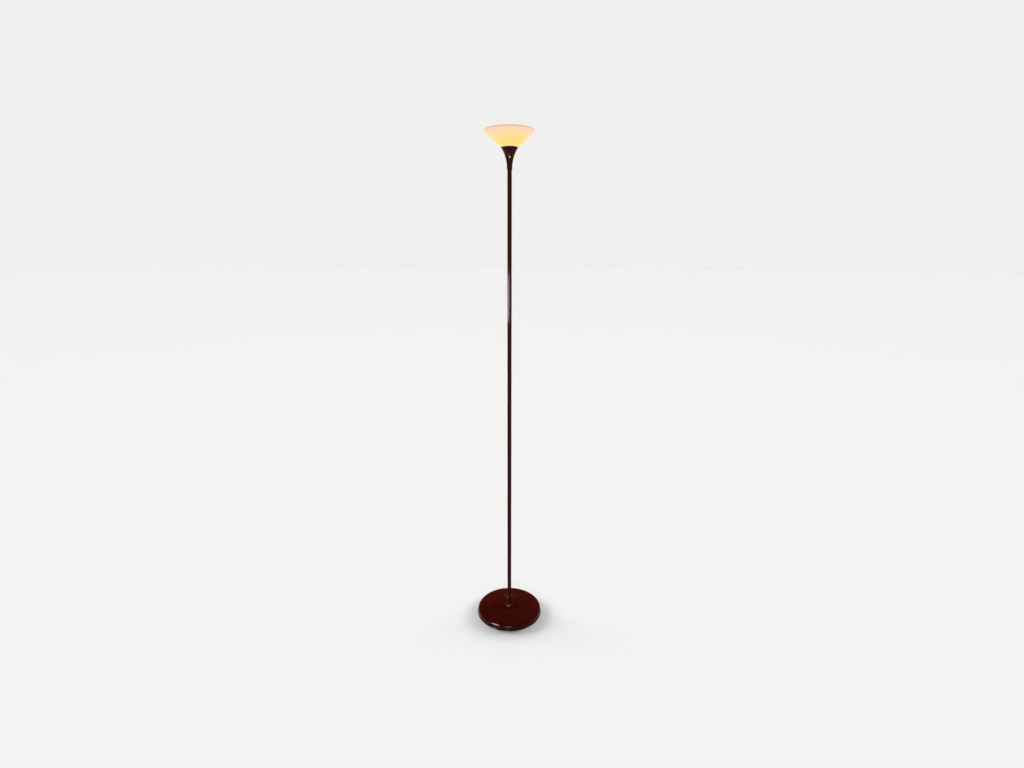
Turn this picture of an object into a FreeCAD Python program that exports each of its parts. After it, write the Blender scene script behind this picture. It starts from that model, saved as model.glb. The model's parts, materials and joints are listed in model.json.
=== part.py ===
"""Uplight floor lamp: a weighted round base, a slim four-part pole, a trumpet cup and a glass bowl.

All sizes are millimetres. +Z is up, and the origin is on the floor under the pole's centre line.
The lamp faces -Y, and its mains inlet is at the back, towards +Y.
Levels are worked out from the floor upwards, so each piece seats on the one below it.
"""

import FreeCAD
import Part

import math
import os

V = FreeCAD.Vector
AXIS = V(0, 0, 1)
BACK = V(0, 1, 0)

# ---------------------------------------------------------------- threaded lamp pipe and its nuts
NIPPLE_R = 5.0  # M10 x 1 hollow lamp pipe
NIPPLE_BORE_R = 3.6
NIPPLE_HOLE_CLEARANCE = 0.2  # in every sheet that the pipe passes through
NUT_ACROSS_FLATS = 14.0
NUT_HEIGHT = 4.0
NUT_CORNER_R = NUT_ACROSS_FLATS / math.sqrt(3.0)
NIPPLE_STICK_OUT = 0.8  # of the pipe past its nut
NIPPLE_HOLE_R = NIPPLE_R + NIPPLE_HOLE_CLEARANCE

# ---------------------------------------------------------------- pole
POLE_R = 7.6
POLE_WALL = 0.8
SECTION_COUNT = 4
SECTION_LENGTH = 416.5
SECTION_EDGE = 0.3  # chamfer that shows as the seam between two sections
BUSH_LENGTH = 14.0
BUSH_FREE_THREAD = 2.0  # at the blind end of each bush

# ---------------------------------------------------------------- base
PAD_THICKNESS = 2.0
PAD_MARGIN = 2.0  # inside the bottom plate's edge
PLATE_THICKNESS = 1.6
PLATE_CLEARANCE = 0.3  # to the cover's wall
COVER_WALL_R = 125.0
COVER_SHEET = 1.2
COVER_TOP_Z = 27.0
COVER_FLAT_R = 32.0  # flat seat for the collar
COVER_CROWN_R = 800.0
COVER_SHOULDER_R = 8.0
HEM_HEIGHT = 2.5
HEM_STICK_OUT = 2.0  # of the rolled lower edge past the wall
WEIGHT_SIDE_GAP = 6.0
WEIGHT_HEADROOM = 2.5
WEIGHT_EDGE = 2.0
BOSS_R = 28.0
BOSS_WEB = 8.0  # iron left between the nut recess and the cover
RECESS_R = 17.0
CHANNEL_WIDTH = 20.0
CHANNEL_HEIGHT = 11.0
WASHER_R = 14.0
WASHER_THICKNESS = 1.5
LOCK_WASHER_R = 9.5
LOCK_WASHER_THICKNESS = 1.0
LOCK_WASHER_TEETH = 10
LOCK_TOOTH_WIDTH = 1.6
LOCK_TOOTH_DEPTH = 1.4
SCREW_COUNT = 3
SCREW_R = 2.0
SCREW_LENGTH = 9.0
SCREW_CIRCLE_R = 95.0
SCREW_SLOT_WIDTH = 1.0
SCREW_SLOT_DEPTH = 0.7

# ---------------------------------------------------------------- mains inlet and terminals
GLAND_BORE_R = 3.3
GLAND_NECK_R = 4.6
GLAND_FLANGE_R = 5.8
GLAND_FLANGE_THICKNESS = 1.6
GLAND_Z = 10.6
BLOCK_WIDTH = 17.0
BLOCK_LENGTH = 22.0
BLOCK_HEIGHT = 9.0
BLOCK_SETBACK = 32.0  # of its outer face from the weight's edge
BLOCK_POLE_SPACING = 8.4
BLOCK_ENTRY_R = 1.6
BLOCK_WELL_R = 2.1
BLOCK_WELL_DEPTH = 3.5
BLOCK_SCREW_R = 1.9
BLOCK_SCREW_HEIGHT = 2.4
BLOCK_SCREW_INSET = 5.5

# ---------------------------------------------------------------- collar at the pole's foot
COLLAR_FOOT_R = 17.0
COLLAR_FOOT_HEIGHT = 1.6
COLLAR_FOOT_ROUND = 1.0
COLLAR_WAIST_R = 10.2
COLLAR_WAIST_Z = 24.0  # heights above the cover
COLLAR_BEAD_LOW_Z = 34.0
COLLAR_BEAD_R = 14.2
COLLAR_BEAD_HIGH_Z = 44.0
COLLAR_TOP_Z = 56.0
COLLAR_LIP = 0.7  # wall left at the collar's top edge
COLLAR_FLOOR = 3.0
POLE_CLEARANCE = 0.15  # between the pole and a socket that it stands in

# ---------------------------------------------------------------- trumpet cup
CUP_WALL = 0.9
CUP_NECK_DROP = 18.0  # of the neck below the pole's top
CUP_FLARE_DROP = 5.0  # of the flare's start below the pole's top
CUP_FLOOR = 2.0
CUP_FLARE_HEIGHT = 55.5
CUP_MOUTH_R = 28.2
CUP_LIP_R = 1.1
CUP_NUT_CLEARANCE = 0.3
CUP_WASHER_THICKNESS = 1.0
CUP_WASHER_MARGIN = 0.2  # past the nut's corners, less the clearance that the nut has

# ---------------------------------------------------------------- glass bowl
GLASS_THICKNESS = 3.5
GLASS_RIM_R = 84.5
GLASS_HEIGHT = 52.0
GLASS_FOOT_R = 30.0  # where the floor's middle line would meet the cone's
GLASS_FOOT_BEND_R = 6.5
GLASS_LIP_R = 1.9
GLASS_HOLE_CLEARANCE = 0.6
GLASS_GAP = 0.4  # over the cup's lip
GASKET_THICKNESS = 1.0
RING_GASKET_THICKNESS = 0.8
GASKET_R = 18.0

# ---------------------------------------------------------------- lamp holder
SLEEVE_R = 12.0
SLEEVE_WALL = 1.4
SLEEVE_FLOOR = 1.5
SLEEVE_DROP = 16.0  # of the sleeve's foot below its flange
SLEEVE_FLANGE_R = 19.0
SLEEVE_FLANGE_THICKNESS = 1.5
SLEEVE_THREAD_PITCH = 1.5
SLEEVE_THREAD_DEPTH = 0.5
SLEEVE_STICK_OUT = 1.0  # of the sleeve past the shade ring
RING_R = 17.5
RING_HEIGHT = 5.0
RING_CLEARANCE = 0.2
RING_NOTCHES = 24
RING_NOTCH_R = 0.9
CERAMIC_CLEARANCE = 0.2
CERAMIC_DROP = 1.8  # of the ceramic's top below the sleeve's top
CERAMIC_WEB = 2.0
CERAMIC_CAVITY_R = 6.2
RETAINER_WIRE = 0.8
RETAINER_BITE = 0.5  # of the snap ring into its groove
RETAINER_GAP = 6.0

# ---------------------------------------------------------------- two-pin capsule lamp
PIN_SPACING = 9.0
PIN_WIRE_R = 0.4
PIN_LOOP_R = 1.2
PIN_LENGTH = 6.5
PIN_ROOT = 3.0  # sealed into the glass
PINCH_WIDTH = 14.0
PINCH_DEPTH = 5.6
PINCH_HEIGHT = 14.0
SEAT_DEPTH = 8.0  # of the pinch in the ceramic
SEAT_CLEARANCE = 0.4
CAPSULE_R = 6.9
CAPSULE_LENGTH = 30.0
CAPSULE_WALL = 0.9
CAPSULE_FLOOR = 2.0
FILAMENT_R = 0.9
FILAMENT_LENGTH = 12.0
SUPPORT_R = 0.3
SUPPORT_ROOT = 4.0
SLOT_WIDTH = 4.4
SLOT_DEPTH = 3.0
CLIP_WIDTH = 3.6
CLIP_SHEET = 0.4
CLIP_GAP = 1.1

# ---------------------------------------------------------------- inner leads
LEAD_R = 0.9
LEAD_OFFSET = 1.35  # of each lead from the pole's centre line
LEAD_Z = 6.2  # along the weight's channel
LEAD_BEND_RUN = 11.0
LEAD_ENTRY = 5.0  # into the terminal block
LEAD_CORNER_SHARE = 0.45  # of the shorter run that each bend takes

# ---------------------------------------------------------------- levels, from the floor upwards
PLATE_Z = PAD_THICKNESS
PLATE_TOP_Z = PLATE_Z + PLATE_THICKNESS
PLATE_R = COVER_WALL_R - COVER_SHEET - PLATE_CLEARANCE
SCREW_HEAD_R = SCREW_R + PLATE_THICKNESS
WEIGHT_R = COVER_WALL_R - COVER_SHEET - WEIGHT_SIDE_GAP
BLOCK_Y = WEIGHT_R - BLOCK_SETBACK - BLOCK_LENGTH
CROWN_CENTRE_Z = COVER_TOP_Z - COVER_CROWN_R
SHOULDER_CENTRE_R = COVER_WALL_R - COVER_SHOULDER_R
SHOULDER_CENTRE_Z = CROWN_CENTRE_Z + math.sqrt(
    (COVER_CROWN_R - COVER_SHOULDER_R) ** 2 - (SHOULDER_CENTRE_R - COVER_FLAT_R) ** 2
)
CROWN_DROP = COVER_CROWN_R - math.sqrt(COVER_CROWN_R**2 - (WEIGHT_R - COVER_FLAT_R) ** 2)
BOSS_TOP_Z = COVER_TOP_Z - COVER_SHEET
WEIGHT_TOP_Z = BOSS_TOP_Z - CROWN_DROP - WEIGHT_HEADROOM
RECESS_TOP_Z = BOSS_TOP_Z - BOSS_WEB
WASHER_Z = RECESS_TOP_Z - WASHER_THICKNESS
LOCK_WASHER_Z = WASHER_Z - LOCK_WASHER_THICKNESS
BASE_NUT_Z = LOCK_WASHER_Z - NUT_HEIGHT
BASE_NIPPLE_Z = BASE_NUT_Z - NIPPLE_STICK_OUT
POLE_Z = COVER_TOP_Z + COLLAR_FLOOR
POLE_TOP_Z = POLE_Z + SECTION_COUNT * SECTION_LENGTH
POLE_BORE_R = POLE_R - POLE_WALL
SOCKET_R = POLE_R + POLE_CLEARANCE

CUP_Z = POLE_TOP_Z - CUP_NECK_DROP
CUP_FLARE_Z = POLE_TOP_Z - CUP_FLARE_DROP
CUP_FLOOR_TOP_Z = POLE_TOP_Z + CUP_FLOOR
CUP_MOUTH_Z = CUP_FLARE_Z + CUP_FLARE_HEIGHT
CUP_NECK_R = max(SOCKET_R, NUT_CORNER_R + CUP_NUT_CLEARANCE) + CUP_WALL
CUP_FLARE_R = ((CUP_MOUTH_R - CUP_NECK_R) ** 2 + CUP_FLARE_HEIGHT**2) / (
    2.0 * (CUP_MOUTH_R - CUP_NECK_R)
)
CUP_NUT_Z = CUP_FLOOR_TOP_Z + CUP_WASHER_THICKNESS

GLASS_Z = CUP_MOUTH_Z + CUP_LIP_R + GLASS_GAP
GLASS_FLOOR_TOP_Z = GLASS_Z + GLASS_THICKNESS
GLASS_TOP_Z = GLASS_Z + GLASS_HEIGHT
FLANGE_TOP_Z = GLASS_Z - GASKET_THICKNESS
SLEEVE_Z = FLANGE_TOP_Z - SLEEVE_DROP
SLEEVE_FLOOR_TOP_Z = SLEEVE_Z + SLEEVE_FLOOR
RING_Z = GLASS_FLOOR_TOP_Z + RING_GASKET_THICKNESS
SLEEVE_TOP_Z = RING_Z + RING_HEIGHT + SLEEVE_STICK_OUT
SLEEVE_BORE_R = SLEEVE_R - SLEEVE_WALL
GLASS_HOLE_R = SLEEVE_R + GLASS_HOLE_CLEARANCE
CERAMIC_TOP_Z = SLEEVE_TOP_Z - CERAMIC_DROP
CERAMIC_R = SLEEVE_BORE_R - CERAMIC_CLEARANCE
HOLDER_NUT_Z = SLEEVE_Z - NUT_HEIGHT
SEAT_Z = CERAMIC_TOP_Z - SEAT_DEPTH
CLIP_TOP_Z = SEAT_Z - CLIP_SHEET
CLIP_Z = SEAT_Z - PIN_LENGTH - 2.0 * CLIP_SHEET
CAVITY_TOP_Z = CLIP_Z - CERAMIC_WEB
CAPSULE_Z = SEAT_Z + PINCH_HEIGHT
CAPSULE_TOP_Z = CAPSULE_Z + CAPSULE_LENGTH
FILAMENT_Z = CAPSULE_Z + CAPSULE_LENGTH / 2.0


# ================================================================ small helpers
def line(start, end):
    """A straight edge in the turning plane, between two (radius, height) pairs."""
    return Part.LineSegment(V(start[0], 0, start[1]), V(end[0], 0, end[1])).toShape()


def arc(start, middle, end):
    """An arc edge in the turning plane through three (radius, height) pairs."""
    points = [V(p[0], 0, p[1]) for p in (start, middle, end)]
    return Part.Arc(*points).toShape()


def turned(edges):
    """The solid that a closed outline makes when it turns about the lamp's axis."""
    return Part.Face(Part.Wire(edges)).revolve(V(0, 0, 0), AXIS, 360)


def outline(points):
    """Straight edges through the points and back to the first."""
    return [line(a, b) for a, b in zip(points, points[1:] + points[:1])]


def rod(radius, low, high, x=0.0, y=0.0):
    """An upright cylinder between two heights."""
    return Part.makeCylinder(radius, high - low, V(x, y, low), AXIS)


def ring(bore, radius, low, high):
    """An upright ring, tube or washer about the lamp's axis."""
    return turned(outline([(bore, low), (radius, low), (radius, high), (bore, high)]))


def block(width, depth, low, high, x=0.0, y=0.0):
    """An upright box centred on x and y."""
    return Part.makeBox(width, depth, high - low, V(x - width / 2.0, y - depth / 2.0, low))


def around(shape, count, start=0.0):
    """Copies of a shape, evenly spaced round the lamp's axis."""
    copies = []
    for index in range(count):
        copy = shape.copy()
        copy.rotate(V(0, 0, 0), AXIS, start + index * 360.0 / count)
        copies.append(copy)
    return copies


def hex_nut(low):
    """A chamfered hexagon nut on the lamp pipe."""
    corners = [
        V(NUT_CORNER_R * math.cos(math.radians(a)), NUT_CORNER_R * math.sin(math.radians(a)), low)
        for a in range(0, 361, 60)
    ]
    body = Part.Face(Part.makePolygon(corners)).extrude(V(0, 0, NUT_HEIGHT))
    half_flat = NUT_ACROSS_FLATS / 2.0
    slope = NUT_CORNER_R - half_flat
    rounding = turned(
        outline(
            [
                (0, low),
                (half_flat, low),
                (NUT_CORNER_R + slope, low + slope),
                (NUT_CORNER_R + slope, low + NUT_HEIGHT - slope),
                (half_flat, low + NUT_HEIGHT),
                (0, low + NUT_HEIGHT),
            ]
        )
    )
    return body.common(rounding).cut(rod(NIPPLE_R, low, low + NUT_HEIGHT))


def thread_grooves(radius, depth, pitch, low, high):
    """V grooves round a cylinder, one each pitch, that stand for a thread."""
    grooves = []
    for index in range(int((high - low) / pitch)):
        middle = low + (index + 0.5) * pitch
        half = pitch * 0.4
        points = [(radius - depth, middle), (radius + depth, middle - half), (radius + depth, middle + half)]
        grooves.append(turned(outline(points)))
    return grooves


def smooth_path(points):
    """Straight runs through the points, joined by tangent arcs as large as the runs allow."""
    edges = []
    at = points[0]
    for before, corner, after in zip(points, points[1:], points[2:]):
        back, ahead = before - corner, after - corner
        run = min(back.Length, ahead.Length) * LEAD_CORNER_SHARE
        back.normalize()
        ahead.normalize()
        half_turn = (math.pi - back.getAngle(ahead)) / 2.0
        radius = run / math.tan(half_turn)
        bisector = (back + ahead).normalize()
        middle = corner + bisector * (radius / math.cos(half_turn) - radius)
        start, end = corner + back * run, corner + ahead * run
        edges.append(Part.LineSegment(at, start).toShape())
        edges.append(Part.Arc(start, middle, end).toShape())
        at = end
    edges.append(Part.LineSegment(at, points[-1]).toShape())
    return Part.Wire(edges)


def round_wire(path, radius):
    """A round wire of that radius along a path."""
    start = path.Edges[0].firstVertex().Point
    direction = path.Edges[0].tangentAt(path.Edges[0].FirstParameter)
    profile = Part.Wire(Part.makeCircle(radius, start, direction))
    return path.makePipeShell([profile], True, False)


# ================================================================ base
def felt_pad():
    return rod(PLATE_R - PAD_MARGIN, 0.0, PAD_THICKNESS)


def screw_heads(low, high, grow=0.0):
    """The countersunk cones of the plate's screws."""
    cone = Part.makeCone(SCREW_HEAD_R + grow, SCREW_R + grow, high - low, V(SCREW_CIRCLE_R, 0, low), AXIS)
    return around(cone, SCREW_COUNT, 30.0)


def bottom_plate():
    plate = rod(PLATE_R, PLATE_Z, PLATE_TOP_Z)
    return plate.cut(screw_heads(PLATE_Z, PLATE_TOP_Z))


def plate_screws():
    cones = screw_heads(PLATE_Z, PLATE_TOP_Z)
    shank_end = PLATE_TOP_Z + SCREW_LENGTH - PLATE_THICKNESS
    shanks = around(rod(SCREW_R, PLATE_TOP_Z, shank_end, x=SCREW_CIRCLE_R), SCREW_COUNT, 30.0)
    slot = block(
        2.0 * SCREW_HEAD_R, SCREW_SLOT_WIDTH, PLATE_Z, PLATE_Z + SCREW_SLOT_DEPTH, x=SCREW_CIRCLE_R
    )
    slots = around(slot, SCREW_COUNT, 30.0)
    return [cone.fuse(shank).cut(cut) for cone, shank, cut in zip(cones, shanks, slots)]


def base_weight():
    """The iron disc, with its boss, nut recess, lead channel and screw holes."""
    body = turned(
        outline(
            [
                (NIPPLE_HOLE_R, PLATE_TOP_Z),
                (WEIGHT_R, PLATE_TOP_Z),
                (WEIGHT_R, WEIGHT_TOP_Z - WEIGHT_EDGE),
                (WEIGHT_R - WEIGHT_EDGE, WEIGHT_TOP_Z),
                (BOSS_R, WEIGHT_TOP_Z),
                (BOSS_R, BOSS_TOP_Z),
                (NIPPLE_HOLE_R, BOSS_TOP_Z),
            ]
        )
    )
    recess = rod(RECESS_R, PLATE_TOP_Z, RECESS_TOP_Z)
    channel = block(
        CHANNEL_WIDTH, WEIGHT_R, PLATE_TOP_Z, PLATE_TOP_Z + CHANNEL_HEIGHT, y=WEIGHT_R / 2.0
    )
    shank_end = PLATE_TOP_Z + SCREW_LENGTH - PLATE_THICKNESS
    holes = around(rod(SCREW_R, PLATE_TOP_Z, shank_end, x=SCREW_CIRCLE_R), SCREW_COUNT, 30.0)
    return body.cut([recess, channel] + holes)


def cover_outline(inset):
    """Edges from the cover's axis to its lower edge, moved inwards by the inset."""
    crown_r = COVER_CROWN_R - inset
    shoulder_r = COVER_SHOULDER_R - inset
    run = SHOULDER_CENTRE_R - COVER_FLAT_R
    rise = SHOULDER_CENTRE_Z - CROWN_CENTRE_Z
    meet = math.atan2(rise, run)
    bend = (math.pi / 2.0 + meet) / 2.0
    turn = meet / 2.0

    def on_crown(angle):
        return (
            COVER_FLAT_R + crown_r * math.cos(angle),
            CROWN_CENTRE_Z + crown_r * math.sin(angle),
        )

    def on_shoulder(angle):
        return (
            SHOULDER_CENTRE_R + shoulder_r * math.cos(angle),
            SHOULDER_CENTRE_Z + shoulder_r * math.sin(angle),
        )

    top, wall_r = COVER_TOP_Z - inset, COVER_WALL_R - inset
    return [
        line((0, top), (COVER_FLAT_R, top)),
        arc((COVER_FLAT_R, top), on_crown(bend), on_crown(meet)),
        arc(on_crown(meet), on_shoulder(turn), (wall_r, SHOULDER_CENTRE_Z)),
        line((wall_r, SHOULDER_CENTRE_Z), (wall_r, PLATE_Z)),
        line((wall_r, PLATE_Z), (0, PLATE_Z)),
        line((0, PLATE_Z), (0, top)),
    ]


def hem():
    """The rolled lower edge of the cover."""
    inner, half = COVER_WALL_R - COVER_SHEET, HEM_HEIGHT / 2.0
    outer = COVER_WALL_R + HEM_STICK_OUT
    low, middle, high = PLATE_Z, PLATE_Z + half, PLATE_Z + HEM_HEIGHT
    return turned(
        [
            line((inner, low), (outer - half, low)),
            arc((outer - half, low), (outer, middle), (outer - half, high)),
            line((outer - half, high), (inner, high)),
            line((inner, high), (inner, low)),
        ]
    )


def base_cover():
    """The pressed steel cover, with its pipe hole and the hole for the mains gland."""
    shell = turned(cover_outline(0.0)).cut(turned(cover_outline(COVER_SHEET)))
    pipe_hole = rod(NIPPLE_HOLE_R, 0.0, COVER_TOP_Z + 1.0)
    gland_hole = Part.makeCylinder(GLAND_NECK_R, COVER_WALL_R, V(0, 10, GLAND_Z), BACK)
    return shell.fuse(hem()).cut([pipe_hole, gland_hole])


def cord_gland():
    """The rubber grommet that grips the cover's wall and takes the mains lead."""
    inner = COVER_WALL_R - COVER_SHEET - GLAND_FLANGE_THICKNESS
    length = COVER_SHEET + 2.0 * GLAND_FLANGE_THICKNESS
    body = Part.makeCylinder(GLAND_FLANGE_R, length, V(0, inner, GLAND_Z), BACK)
    bore = Part.makeCylinder(GLAND_BORE_R, length, V(0, inner, GLAND_Z), BACK)
    return body.cut([bore, base_cover()])


def block_poles():
    """The x of each pole of the terminal block."""
    return [-BLOCK_POLE_SPACING / 2.0, BLOCK_POLE_SPACING / 2.0]


def block_screw_places():
    near, far = BLOCK_Y + BLOCK_SCREW_INSET, BLOCK_Y + BLOCK_LENGTH - BLOCK_SCREW_INSET
    return [(x, y) for x in block_poles() for y in (near, far)]


def terminal_block():
    top = PLATE_TOP_Z + BLOCK_HEIGHT
    middle_y = BLOCK_Y + BLOCK_LENGTH / 2.0
    body = block(BLOCK_WIDTH, BLOCK_LENGTH, PLATE_TOP_Z, top, y=middle_y)
    cuts = [
        Part.makeCylinder(BLOCK_ENTRY_R, BLOCK_LENGTH, V(x, BLOCK_Y, LEAD_Z), BACK)
        for x in block_poles()
    ]
    cuts += [rod(BLOCK_WELL_R, top - BLOCK_WELL_DEPTH, top, x, y) for x, y in block_screw_places()]
    cuts.append(block(1.2, BLOCK_LENGTH, top - 2.0, top, y=middle_y))
    return body.cut(cuts)


def terminal_screws():
    low = PLATE_TOP_Z + BLOCK_HEIGHT - BLOCK_WELL_DEPTH
    high = low + BLOCK_SCREW_HEIGHT
    screws = []
    for x, y in block_screw_places():
        slot = block(2.0 * BLOCK_SCREW_R, 0.6, high - 0.8, high, x, y)
        screws.append(rod(BLOCK_SCREW_R, low, high, x, y).cut(slot))
    return screws


def base_washer():
    return ring(NIPPLE_HOLE_R, WASHER_R, WASHER_Z, RECESS_TOP_Z)


def lock_washer():
    body = ring(NIPPLE_HOLE_R, LOCK_WASHER_R, LOCK_WASHER_Z, WASHER_Z)
    notch = block(
        2.0 * LOCK_TOOTH_DEPTH, LOCK_TOOTH_WIDTH, LOCK_WASHER_Z, WASHER_Z, x=LOCK_WASHER_R
    )
    return body.cut(around(notch, LOCK_WASHER_TEETH))


def pipe(low, high):
    """A length of hollow lamp pipe."""
    return ring(NIPPLE_BORE_R, NIPPLE_R, low, high)


def base_nipple():
    return pipe(BASE_NIPPLE_Z, POLE_Z + BUSH_LENGTH - BUSH_FREE_THREAD)


def base_collar():
    """The turned collar that the pole stands in."""
    z = COVER_TOP_Z
    foot_top = COLLAR_FOOT_HEIGHT + COLLAR_FOOT_ROUND
    turn = COLLAR_FOOT_ROUND * (1.0 - math.sqrt(0.5))
    sweep_r = COLLAR_FOOT_R - COLLAR_FOOT_ROUND
    third = (sweep_r - COLLAR_WAIST_R) / 3.0
    sweep_middle_z = foot_top + (COLLAR_WAIST_Z - foot_top) * 0.3
    bead_middle_z = (COLLAR_BEAD_LOW_Z + COLLAR_BEAD_HIGH_Z) / 2.0
    top_r = SOCKET_R + COLLAR_LIP
    return turned(
        [
            line((NIPPLE_HOLE_R, z), (COLLAR_FOOT_R, z)),
            line((COLLAR_FOOT_R, z), (COLLAR_FOOT_R, z + COLLAR_FOOT_HEIGHT)),
            arc(
                (COLLAR_FOOT_R, z + COLLAR_FOOT_HEIGHT),
                (COLLAR_FOOT_R - turn, z + foot_top - turn),
                (sweep_r, z + foot_top),
            ),
            arc(
                (sweep_r, z + foot_top),
                (COLLAR_WAIST_R + third, z + sweep_middle_z),
                (COLLAR_WAIST_R, z + COLLAR_WAIST_Z),
            ),
            line((COLLAR_WAIST_R, z + COLLAR_WAIST_Z), (COLLAR_WAIST_R, z + COLLAR_BEAD_LOW_Z)),
            arc(
                (COLLAR_WAIST_R, z + COLLAR_BEAD_LOW_Z),
                (COLLAR_BEAD_R, z + bead_middle_z),
                (COLLAR_WAIST_R, z + COLLAR_BEAD_HIGH_Z),
            ),
            line((COLLAR_WAIST_R, z + COLLAR_BEAD_HIGH_Z), (top_r, z + COLLAR_TOP_Z)),
            line((top_r, z + COLLAR_TOP_Z), (SOCKET_R, z + COLLAR_TOP_Z)),
            line((SOCKET_R, z + COLLAR_TOP_Z), (SOCKET_R, POLE_Z)),
            line((SOCKET_R, POLE_Z), (NIPPLE_HOLE_R, POLE_Z)),
            line((NIPPLE_HOLE_R, POLE_Z), (NIPPLE_HOLE_R, z)),
        ]
    )


# ================================================================ pole
def section_foot(index):
    """The height of the lower end of a pole section."""
    return POLE_Z + index * SECTION_LENGTH


def pole_section(index):
    low = section_foot(index)
    high = low + SECTION_LENGTH
    edge_r = POLE_R - SECTION_EDGE
    return turned(
        outline(
            [
                (POLE_BORE_R, low),
                (edge_r, low),
                (POLE_R, low + SECTION_EDGE),
                (POLE_R, high - SECTION_EDGE),
                (edge_r, high),
                (POLE_BORE_R, high),
            ]
        )
    )


def pole_bush(low):
    """A threaded bush pressed into the end of a section."""
    return ring(NIPPLE_R, POLE_BORE_R, low, low + BUSH_LENGTH)


def pole_stud(index):
    """The stud that joins a section to the one above it."""
    joint = section_foot(index + 1)
    reach = BUSH_LENGTH - BUSH_FREE_THREAD
    return pipe(joint - reach, joint + reach)


# ================================================================ trumpet cup
def cup_arc_r(height, inset):
    """The radius of the cup's flare at a height, moved inwards by the inset."""
    centre_r = CUP_NECK_R + CUP_FLARE_R
    return centre_r - math.sqrt((CUP_FLARE_R + inset) ** 2 - (height - CUP_FLARE_Z) ** 2)


def cup():
    """The spun steel cup: a neck over the pole's top, a floor on its end and a flare."""
    middle = (CUP_FLARE_Z + CUP_MOUTH_Z) / 2.0
    inner_middle = (CUP_FLOOR_TOP_Z + CUP_MOUTH_Z) / 2.0
    inner_foot = cup_arc_r(CUP_FLOOR_TOP_Z, CUP_WALL)
    inner_mouth = cup_arc_r(CUP_MOUTH_Z, CUP_WALL)
    body = turned(
        [
            line((SOCKET_R, CUP_Z), (SOCKET_R + CUP_WALL, CUP_Z)),
            line((SOCKET_R + CUP_WALL, CUP_Z), (CUP_NECK_R, CUP_FLARE_Z)),
            arc(
                (CUP_NECK_R, CUP_FLARE_Z),
                (cup_arc_r(middle, 0.0), middle),
                (CUP_MOUTH_R, CUP_MOUTH_Z),
            ),
            line((CUP_MOUTH_R, CUP_MOUTH_Z), (inner_mouth, CUP_MOUTH_Z)),
            arc(
                (inner_mouth, CUP_MOUTH_Z),
                (cup_arc_r(inner_middle, CUP_WALL), inner_middle),
                (inner_foot, CUP_FLOOR_TOP_Z),
            ),
            line((inner_foot, CUP_FLOOR_TOP_Z), (NIPPLE_HOLE_R, CUP_FLOOR_TOP_Z)),
            line((NIPPLE_HOLE_R, CUP_FLOOR_TOP_Z), (NIPPLE_HOLE_R, POLE_TOP_Z)),
            line((NIPPLE_HOLE_R, POLE_TOP_Z), (SOCKET_R, POLE_TOP_Z)),
            line((SOCKET_R, POLE_TOP_Z), (SOCKET_R, CUP_Z)),
        ]
    )
    lip = Part.makeTorus((CUP_MOUTH_R + inner_mouth) / 2.0, CUP_LIP_R, V(0, 0, CUP_MOUTH_Z), AXIS)
    return body.fuse(lip)


def cup_washer():
    outer = NUT_CORNER_R + CUP_WASHER_MARGIN
    return ring(NIPPLE_HOLE_R, outer, CUP_FLOOR_TOP_Z, CUP_NUT_Z)


def top_nipple():
    return pipe(POLE_TOP_Z - BUSH_LENGTH + BUSH_FREE_THREAD, SLEEVE_FLOOR_TOP_Z)


# ================================================================ lamp holder
def holder_sleeve():
    """The threaded brass sleeve, with the flange that the bowl stands on."""
    body = ring(SLEEVE_BORE_R, SLEEVE_R, SLEEVE_Z, SLEEVE_TOP_Z)
    floor = ring(NIPPLE_R, SLEEVE_R, SLEEVE_Z, SLEEVE_FLOOR_TOP_Z)
    flange = ring(SLEEVE_BORE_R, SLEEVE_FLANGE_R, FLANGE_TOP_Z - SLEEVE_FLANGE_THICKNESS, FLANGE_TOP_Z)
    groove_z = CERAMIC_TOP_Z
    groove = ring(
        SLEEVE_BORE_R - RETAINER_BITE, SLEEVE_BORE_R + RETAINER_BITE, groove_z, groove_z + RETAINER_WIRE
    )
    thread = thread_grooves(
        SLEEVE_R, SLEEVE_THREAD_DEPTH, SLEEVE_THREAD_PITCH, GLASS_FLOOR_TOP_Z, SLEEVE_TOP_Z
    )
    return body.fuse([floor, flange]).cut([groove] + thread)


def holder_ring():
    """The snap ring that keeps the ceramic in the sleeve."""
    inner, outer = SLEEVE_BORE_R - 1.0, SLEEVE_BORE_R + RETAINER_BITE
    body = ring(inner, outer, CERAMIC_TOP_Z, CERAMIC_TOP_Z + RETAINER_WIRE)
    gap = block(
        RETAINER_GAP, 2.0 * outer, CERAMIC_TOP_Z, CERAMIC_TOP_Z + RETAINER_WIRE, y=-outer
    )
    return body.cut(gap)


def pin_places():
    return [-PIN_SPACING / 2.0, PIN_SPACING / 2.0]


def holder_ceramic():
    """The ceramic insert, with the lamp's seat, the clips' slots and the leads' cavity."""
    body = rod(CERAMIC_R, SLEEVE_FLOOR_TOP_Z, CERAMIC_TOP_Z)
    cuts = [
        block(
            PINCH_WIDTH + 2.0 * SEAT_CLEARANCE,
            PINCH_DEPTH + 2.0 * SEAT_CLEARANCE,
            SEAT_Z,
            CERAMIC_TOP_Z,
        ),
        rod(CERAMIC_CAVITY_R, SLEEVE_FLOOR_TOP_Z, CAVITY_TOP_Z),
    ]
    for x in pin_places():
        cuts.append(block(SLOT_WIDTH, SLOT_DEPTH, CLIP_Z, SEAT_Z, x=x))
        cuts.append(rod(LEAD_R + CERAMIC_CLEARANCE, CAVITY_TOP_Z, CLIP_Z, x=x))
    return body.cut(cuts)


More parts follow.
